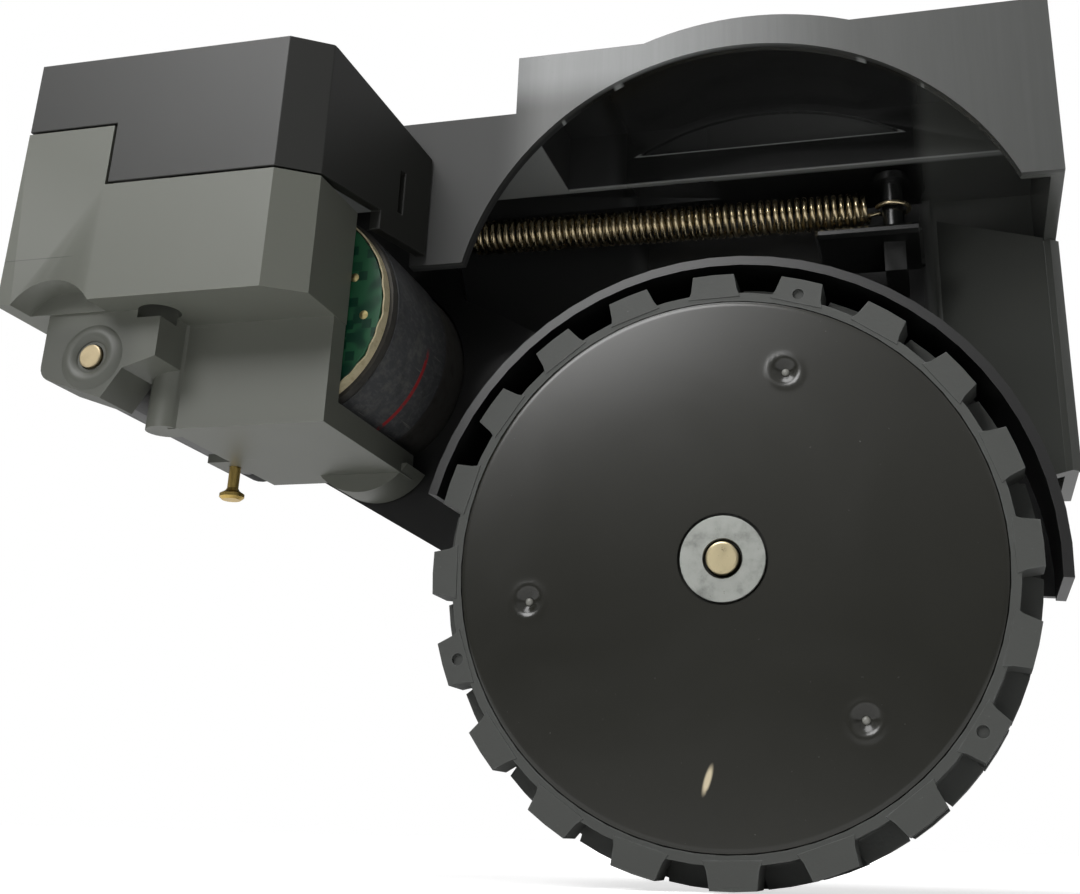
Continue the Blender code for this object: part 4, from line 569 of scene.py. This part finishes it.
class WHEELMODULE_OT_wheel(bpy.types.Operator):
    """Tyre with rounded lugs, polished disc with its gate marks, washer and axle end"""

    bl_idname = "wheel_module.wheel"
    bl_label = "Wheel"

    def execute(self, context):
        looks = context.scene.wheel_module_wheel
        polish = polished_plastic("disc_polish", tuple(looks.disc_colour), looks.disc_gloss)
        # Painted highlight: a short bright glint below the axle.
        self.nick(polish)
        disc = polish.material
        tyre = rubber("tyre_rubber_finish", tuple(looks.tyre_colour)).material
        softened("tyre", tyre, looks.lug_edge, 2, 34, 30)
        self.disc(looks, disc)
        washer = metal("washer_zinc", (0.3, 0.31, 0.29), 0.5, dull=0.5).material
        axle = metal("axle_steel", (0.5, 0.43, 0.27), 0.3).material
        softened("axle_washer", washer, 0.08 * MM)
        paint("axle", axle)
        return {"FINISHED"}

    def disc(self, looks, material):
        """The disc: a fine polar grid in front for the gate marks, with a rim and ribs behind."""
        centre = place_in_module(0, 0, 0)
        rim, seat, depth, web, back = 32.3 * MM, 5.4 * MM, 0.8 * MM, 2.2 * MM, 15.8 * MM
        rings = 76
        front = [(seat + (rim - 0.35 * MM - seat) * i / rings, 0.0) for i in range(rings + 1)]
        chamfer = 0.2 * MM
        edge = [
            (rim - 0.12 * MM, 0.08 * MM),
            (rim, 0.35 * MM),
            (rim, back - chamfer),
            (rim - chamfer, back),
        ]
        inside = [
            (rim - 2.0 * MM, back),
            (rim - 2.3 * MM, web + 0.6 * MM),
            (rim - 2.9 * MM, web),
            (6.9 * MM, web),
        ]
        hub_radius, bore = 5.6 * MM, 2.1 * MM
        hub = [
            (hub_radius, web + 1.0 * MM),
            (hub_radius, back - chamfer),
            (bore, back - chamfer),
            (bore, depth),
        ]
        profile = front + edge + inside + hub + [(seat, depth)]
        mesh = turned_mesh("wheel_disc_polished", profile, centre, 320)
        marks = []
        mark_radius, mark_reach = 24.0 * MM, 3.4 * MM
        for number in range(3):
            turn = math.radians(71 + 120 * number)
            marks.append(centre + mark_radius * Vector((math.cos(turn), 0, math.sin(turn))))
        for vertex in mesh.vertices:
            if vertex.co.y > centre.y + 0.05 * MM:
                continue
            for mark in marks:
                away = math.hypot(vertex.co.x - mark.x, vertex.co.z - mark.z)
                if away < mark_reach:
                    vertex.co.y += looks.dimple_depth * self.gate_mark(away / MM)
        work = bmesh.new()
        work.from_mesh(mesh)
        ribs = 6
        rib_size = Vector((24.6, 9.6, 1.2)) * MM
        rib_middle = Vector((17.6, 6.9, 0.0)) * MM
        for number in range(ribs):
            turn = Matrix.Rotation(-TAU * (number + 0.5) / ribs, 4, "Y")
            rib = bmesh.ops.create_cube(work, size=1.0)["verts"]
            for vertex in rib:
                sized = Vector([part * share for part, share in zip(rib_size, vertex.co)])
                vertex.co = centre + turn @ (rib_middle + sized)
        work.to_mesh(mesh)
        work.free()
        new_piece("wheel_disc_polished", mesh, "wheel", material, 30, ("wheel_disc",))
        # Painted highlight: the nubs are painted pale for the bright glint on each.
        painted_highlight = Finish("gate_nub", (0.2, 0.2, 0.18), 0.35)
        painted_highlight.set("Roughness", painted_highlight.noise(900, 3) * 0.3 + 0.2)
        dome = in_mm((0, 0.35), (0.25, 0.38), (0.42, 0.5), (0.55, 0.9), (0, 0.9))
        for number, mark in enumerate(marks):
            nub = turned_mesh("gate_nub", dome, mark, 32)
            new_piece("gate_nub_" + str(number + 1), nub, "wheel", painted_highlight.material, 50)

    def nick(self, polish):
        """A short painted highlight below the axle, for the glint of a dent where the polish is chipped."""
        spot = place_in_module(-1.8, 0, -24.6)
        right, up = polish.axis("X") - spot.x, polish.axis("Z") - spot.z
        along = right * 0.3 + up * 0.95
        across = right * 0.95 - up * 0.3
        away = (along * along * 0.06 + across * across) ** 0.5
        broken = polish.noise(700, 3).between(0.25, 0.4)
        polish.tint(away.between(0.5 * MM, 0.2 * MM) * broken, (0.6, 0.52, 0.36))

    def gate_mark(self, away):
        """Depth, as a share, of a shallow saucer with a faint rise round it."""
        saucer = 0.5 + 0.5 * math.cos(math.pi * min(1.0, away / 1.7))
        rise = math.exp(-(((away - 1.9) / 0.35) ** 2))
        return saucer * 0.8 - rise * 0.06


class WHEELMODULE_OT_spring(bpy.types.Operator):
    """Close-wound tension spring with a hook through the arm's horn and a loop round the post"""

    bl_idname = "wheel_module.spring"
    bl_label = "Tension spring"

    def execute(self, context):
        looks = context.scene.wheel_module_spring
        left = place_in_module(*SPRING_LEFT)
        right = place_in_module(*SPRING_RIGHT)
        hook_reach, loop_reach, loop_radius = 4.2 * MM, 3.4 * MM, 2.3 * MM
        horn = left - Vector((hook_reach, 0, 0))
        along = (right - left).normalized()
        side = along.cross(Vector((0, 1, 0))).normalized()
        radius = looks.coil_radius - looks.wire_radius
        steps, taper_turns = 18, 1.5
        points = []
        for share, back in ((0, -2.5), (0, -0.4), (0.12, 0.3), (0.4, 0.8)):
            points.append(horn + share * (left - horn) + Vector((0, back * MM, 0)))
        for i in range(looks.turns * steps + 1):
            turn = i / steps
            angle = TAU * turn
            end = min(turn, looks.turns - turn)
            reach = radius * (1 if end > taper_turns else 0.72 + 0.28 * end / taper_turns)
            spot = left + (right - left) * (turn / looks.turns)
            points.append(spot + reach * (math.sin(angle) * side + math.cos(angle) * Vector((0, 1, 0))))
        post = right + along * loop_reach
        for i in range(15):
            angle = math.radians(150 - 22 * i)
            around = math.cos(angle) * along + math.sin(angle) * Vector((0, 1, 0))
            points.append(post + loop_radius * around)
        steel = metal("spring_wire", tuple(looks.wire_colour), 0.24).material
        mesh = wire_mesh("spring_coil", points, looks.wire_radius, 8)
        made = bpy.data.objects.new("spring_coil", mesh)
        context.scene.collection.objects.link(made)
        mesh.materials.append(steel)
        mesh.shade_smooth()
        end = left + along * 14.0 * MM
        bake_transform(made)
        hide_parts("tension_spring")
        return {"FINISHED"}


class WHEELMODULE_OT_motor(bpy.types.Operator):
    """Motor can with its label, encoder board with solder joints, and the insulating paper round it"""

    bl_idname = "wheel_module.motor"
    bl_label = "Motor and board"

    def execute(self, context):
        can = metal("can_zinc", (0.13, 0.125, 0.115), 0.55, dull=0.4)
        softened("motor_can", can.material, 0.3 * MM)
        board = circuit_board("solder_mask").material
        softened("encoder_board", board, 0.08 * MM)
        centre = place_in_module(*MOTOR_CENTRE)
        label = paper("label_stock", (0.045, 0.047, 0.05), (0.11, 0.11, 0.11))
        stripe = label.axis("Y")
        label.tint(scratches(label, 1, 300, 0.62), (0.16, 0.155, 0.14))
        label.tint(label.noise(420, 5, 0.7).between(0.5, 0.68) * 0.6, (0.1, 0.1, 0.09))
        stroke = stripe.between(-14.2 * MM, -14.0 * MM) * (1 - stripe.between(-13.4 * MM, -13.2 * MM))
        lower_half = label.axis("Z").between(-40.5 * MM, -42.5 * MM)
        stroke = stroke * lower_half * label.noise(900, 3).between(0.3, 0.45)
        label.tint(stroke, (0.3, 0.012, 0.015))
        wrap = in_mm((14.78, 0), (14.78, 17.0), (14.62, 17.0), (14.62, 0))
        sleeve = turned_mesh("motor_label", wrap, centre + Vector((0, -7.6 * MM, 0)), 96)
        new_piece("motor_label", sleeve, "swing_arm", label.material)
        cream = paper("insulating_paper", (0.5, 0.44, 0.28), (0.3, 0.24, 0.13)).material
        band = in_mm((14.15, 0), (14.15, 1.5), (13.95, 1.5), (13.95, 0))
        ring = turned_mesh("insulating_ring", band, centre + Vector((0, -10.7 * MM, 0)), 120)
        for vertex in ring.vertices:
            out = vertex.co - centre
            turn = math.atan2(out.z, out.x)
            if out.y < -10.0 * MM:
                vertex.co.y += 0.35 * MM * math.sin(9 * turn) * math.sin(23 * turn + 1.0) - 0.15 * MM
        new_piece("insulating_ring", ring, "swing_arm", cream)
        solder = metal("solder", (0.5, 0.42, 0.2), 0.4, dull=0.2).material
        front = -10.8 * MM
        bead_outline = in_mm((0, -0.2), (0.25, -0.17), (0.4, -0.06), (0.65, 0.02), (0, 0.02))
        for number, angle in enumerate((-42, -8, 20, 48)):
            turn = math.radians(angle)
            reach = (11.6 if number % 2 else 10.4) * MM
            spot = centre + Vector((reach * math.cos(turn), front, reach * math.sin(turn)))
            bead = turned_mesh("solder_joint", bead_outline, spot, 16)
            new_piece("solder_joint_" + str(number + 1), bead, "swing_arm", solder)
        return {"FINISHED"}


class WHEELMODULE_OT_small_pieces(bpy.types.Operator):
    """Screws, pins, terminals, gears, bushes, switch and connector in their own finishes"""

    bl_idname = "wheel_module.small_pieces"
    bl_label = "Small pieces"

    def execute(self, context):
        steel = metal("plated_steel", (0.5, 0.48, 0.43), 0.34).material
        pin = metal("pin_steel", (0.46, 0.38, 0.24), 0.34, dull=0.2).material
        brass = metal("turned_brass", (0.62, 0.44, 0.14), 0.28).material
        bronze = metal("sintered_bronze", (0.4, 0.25, 0.11), 0.5, dull=0.3).material
        white = moulded("switch_plastic", (0.6, 0.58, 0.5), 0.42, 0.2, 0.1, 0.15).material
        black = moulded("black_nylon", (0.012, 0.012, 0.012), 0.45, 0.3, 0.2, 0.15).material
        acetal = moulded("gear_acetal", (0.58, 0.56, 0.5), 0.35, 0.15, 0.1, 0.1).material
        groups = {
            steel: ["hinge_clip", "bracket_screw", "well_screw_left", "well_screw_right", "motor_shaft"]
            + ["case_screw_" + str(n) for n in (1, 2, 3, 4)]
            + ["gear_pin_first", "gear_pin_second", "gear_pin_third"],
            pin: ["hinge_pin"],
            brass: ["captive_screw", "motor_pinion", "motor_terminal_left", "motor_terminal_right"]
            + ["contact_" + str(n) for n in range(1, 7)],
            bronze: ["front_axle_bush", "rear_axle_bush"],
            white: ["board_connector", "drop_switch_plunger"],
            black: ["motor_end_cap", "module_connector", "drop_switch", "hall_sensor", "encoder_magnet"],
            acetal: ["first_gear", "second_gear", "third_gear", "output_gear"],
        }
        for material, nodes in groups.items():
            for node in nodes:
                paint(node, material)
        return {"FINISHED"}


class WHEELMODULE_OT_stage(bpy.types.Operator):
    """Pale floor and surroundings, soft lamps and the camera"""

    bl_idname = "wheel_module.stage"
    bl_label = "Stage"

    def execute(self, context):
        looks = context.scene.wheel_module_stage
        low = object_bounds()[0]
        mesh = bpy.data.meshes.new("floor")
        half = 3.0
        sides = ((-half, -half), (half, -half), (half, half), (-half, half))
        work = bmesh.new()
        work.faces.new([work.verts.new((x, y, low.z - 0.2 * MM)) for x, y in sides])
        work.to_mesh(mesh)
        work.free()
        floor = bpy.data.objects.new("floor", mesh)
        context.scene.collection.objects.link(floor)
        shade = looks.floor_shade
        paint = Finish("floor_paint", (shade, shade, shade), 0.9)
        camera_ray = paint.node("ShaderNodeLightPath", output="Is Camera Ray")
        away = paint.node("ShaderNodeVectorMath", {"operation": "LENGTH"}, {0: paint.place}, output="Value")
        glow = camera_ray * (away.between(0.12, 0.4) * 0.35 + 0.68)
        paint.set("Emission Color", paint.mix(glow, (0, 0, 0, 1), (1, 1, 1, 1)))
        paint.set("Emission Strength", 1.0)
        mesh.materials.append(paint.material)
        floor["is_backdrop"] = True
        self.light(context, "key", (-0.34, -0.78, 0.46), 0.45, 4.4)
        self.light(context, "fill", (0.6, -0.9, 0.2), 0.7, 0.15)
        self.light(context, "top", (-0.3, -0.3, 0.9), 0.8, 9.0)
        self.surroundings(context)
        self.camera(context, looks)
        context.scene.view_settings.view_transform = "Standard"
        return {"FINISHED"}

    def camera(self, context, looks):
        """The photograph's viewpoint, found from the wheel's outline and the housing's edges."""
        camera = bpy.data.cameras.new("camera")
        camera.lens = looks.lens
        camera.sensor_width = 36
        camera.shift_x = -0.05667
        camera.shift_y = -0.11312
        camera.clip_start = 0.01
        holder = bpy.data.objects.new("camera", camera)
        holder.location = (-0.00399, -0.172878, -0.10164)
        holder.rotation_euler = Euler([math.radians(a) for a in (110.8508, -1.4797, 14.3184)])
        context.scene.collection.objects.link(holder)
        context.scene.camera = holder

    def light(self, context, name, place, size, power):
        data = bpy.data.lights.new(name, "AREA")
        data.shape = "DISK"
        data.size = size
        data.energy = power
        holder = bpy.data.objects.new(name, data)
        holder.location = place
        aim = Vector((-0.04, 0, -0.05)) - Vector(place)
        holder.rotation_euler = aim.to_track_quat("-Z", "Y").to_euler()
        context.scene.collection.objects.link(holder)

    def surroundings(self, context):
        """White to the camera and to glass, brighter upwards to gloss, and a plain grey light to the rest."""
        world = bpy.data.worlds.new("surroundings")
        context.scene.world = world
        world.use_nodes = True
        sky = Shading(world.node_tree)
        sky.place = sky.node("ShaderNodeTexCoord", output="Generated")
        rays = ("Camera", "Glossy", "Transmission")
        camera, gloss, glass = (
            sky.node("ShaderNodeLightPath", output="Is " + kind + " Ray") for kind in rays
        )
        grey = 0.1
        upwards = sky.axis("Z").between(0.06, 0.42) * 0.42 + 0.08
        strength = (camera + glass) * (1 - grey) + gloss * (upwards - grey) + grey
        background = world.node_tree.nodes["Background"]
        background.inputs["Color"].default_value = (1, 1, 1, 1)
        world.node_tree.links.new(strength.socket, background.inputs["Strength"])


STEPS = (
    WHEELMODULE_OT_mouldings,
    WHEELMODULE_OT_wheel,
    WHEELMODULE_OT_spring,
    WHEELMODULE_OT_motor,
    WHEELMODULE_OT_small_pieces,
    WHEELMODULE_OT_stage,
)


class WHEELMODULE_PT_panel(bpy.types.Panel):
    """Lists the module's pieces and sizes"""

    bl_idname = "WHEELMODULE_PT_panel"
    bl_label = "Wheel module"
    bl_space_type = "VIEW_3D"
    bl_region_type = "UI"
    bl_category = "Wheel module"

    def draw(self, context):
        for name, kind in PROPERTIES:
            looks = getattr(context.scene, name)
            for field in kind.__annotations__:
                self.layout.prop(looks, field)
        for step in STEPS:
            self.layout.operator(step.bl_idname)


PROPERTIES = (
    ("wheel_module_mouldings", MouldingLooks),
    ("wheel_module_wheel", WheelLooks),
    ("wheel_module_spring", SpringLooks),
    ("wheel_module_stage", StageLooks),
)


def register():
    for name, kind in PROPERTIES:
        bpy.utils.register_class(kind)
        setattr(bpy.types.Scene, name, PointerProperty(type=kind))
    for kind in (*STEPS, WHEELMODULE_PT_panel):
        bpy.utils.register_class(kind)


def unregister():
    for kind in (WHEELMODULE_PT_panel, *reversed(STEPS)):
        bpy.utils.unregister_class(kind)
    for name, kind in reversed(PROPERTIES):
        delattr(bpy.types.Scene, name)
        bpy.utils.unregister_class(kind)


def main():
    register()
    bpy.ops.wheel_module.mouldings()
    bpy.ops.wheel_module.wheel()
    bpy.ops.wheel_module.spring()
    bpy.ops.wheel_module.motor()
    bpy.ops.wheel_module.small_pieces()
    bpy.ops.wheel_module.stage()


if __name__ == "__main__":
    main()
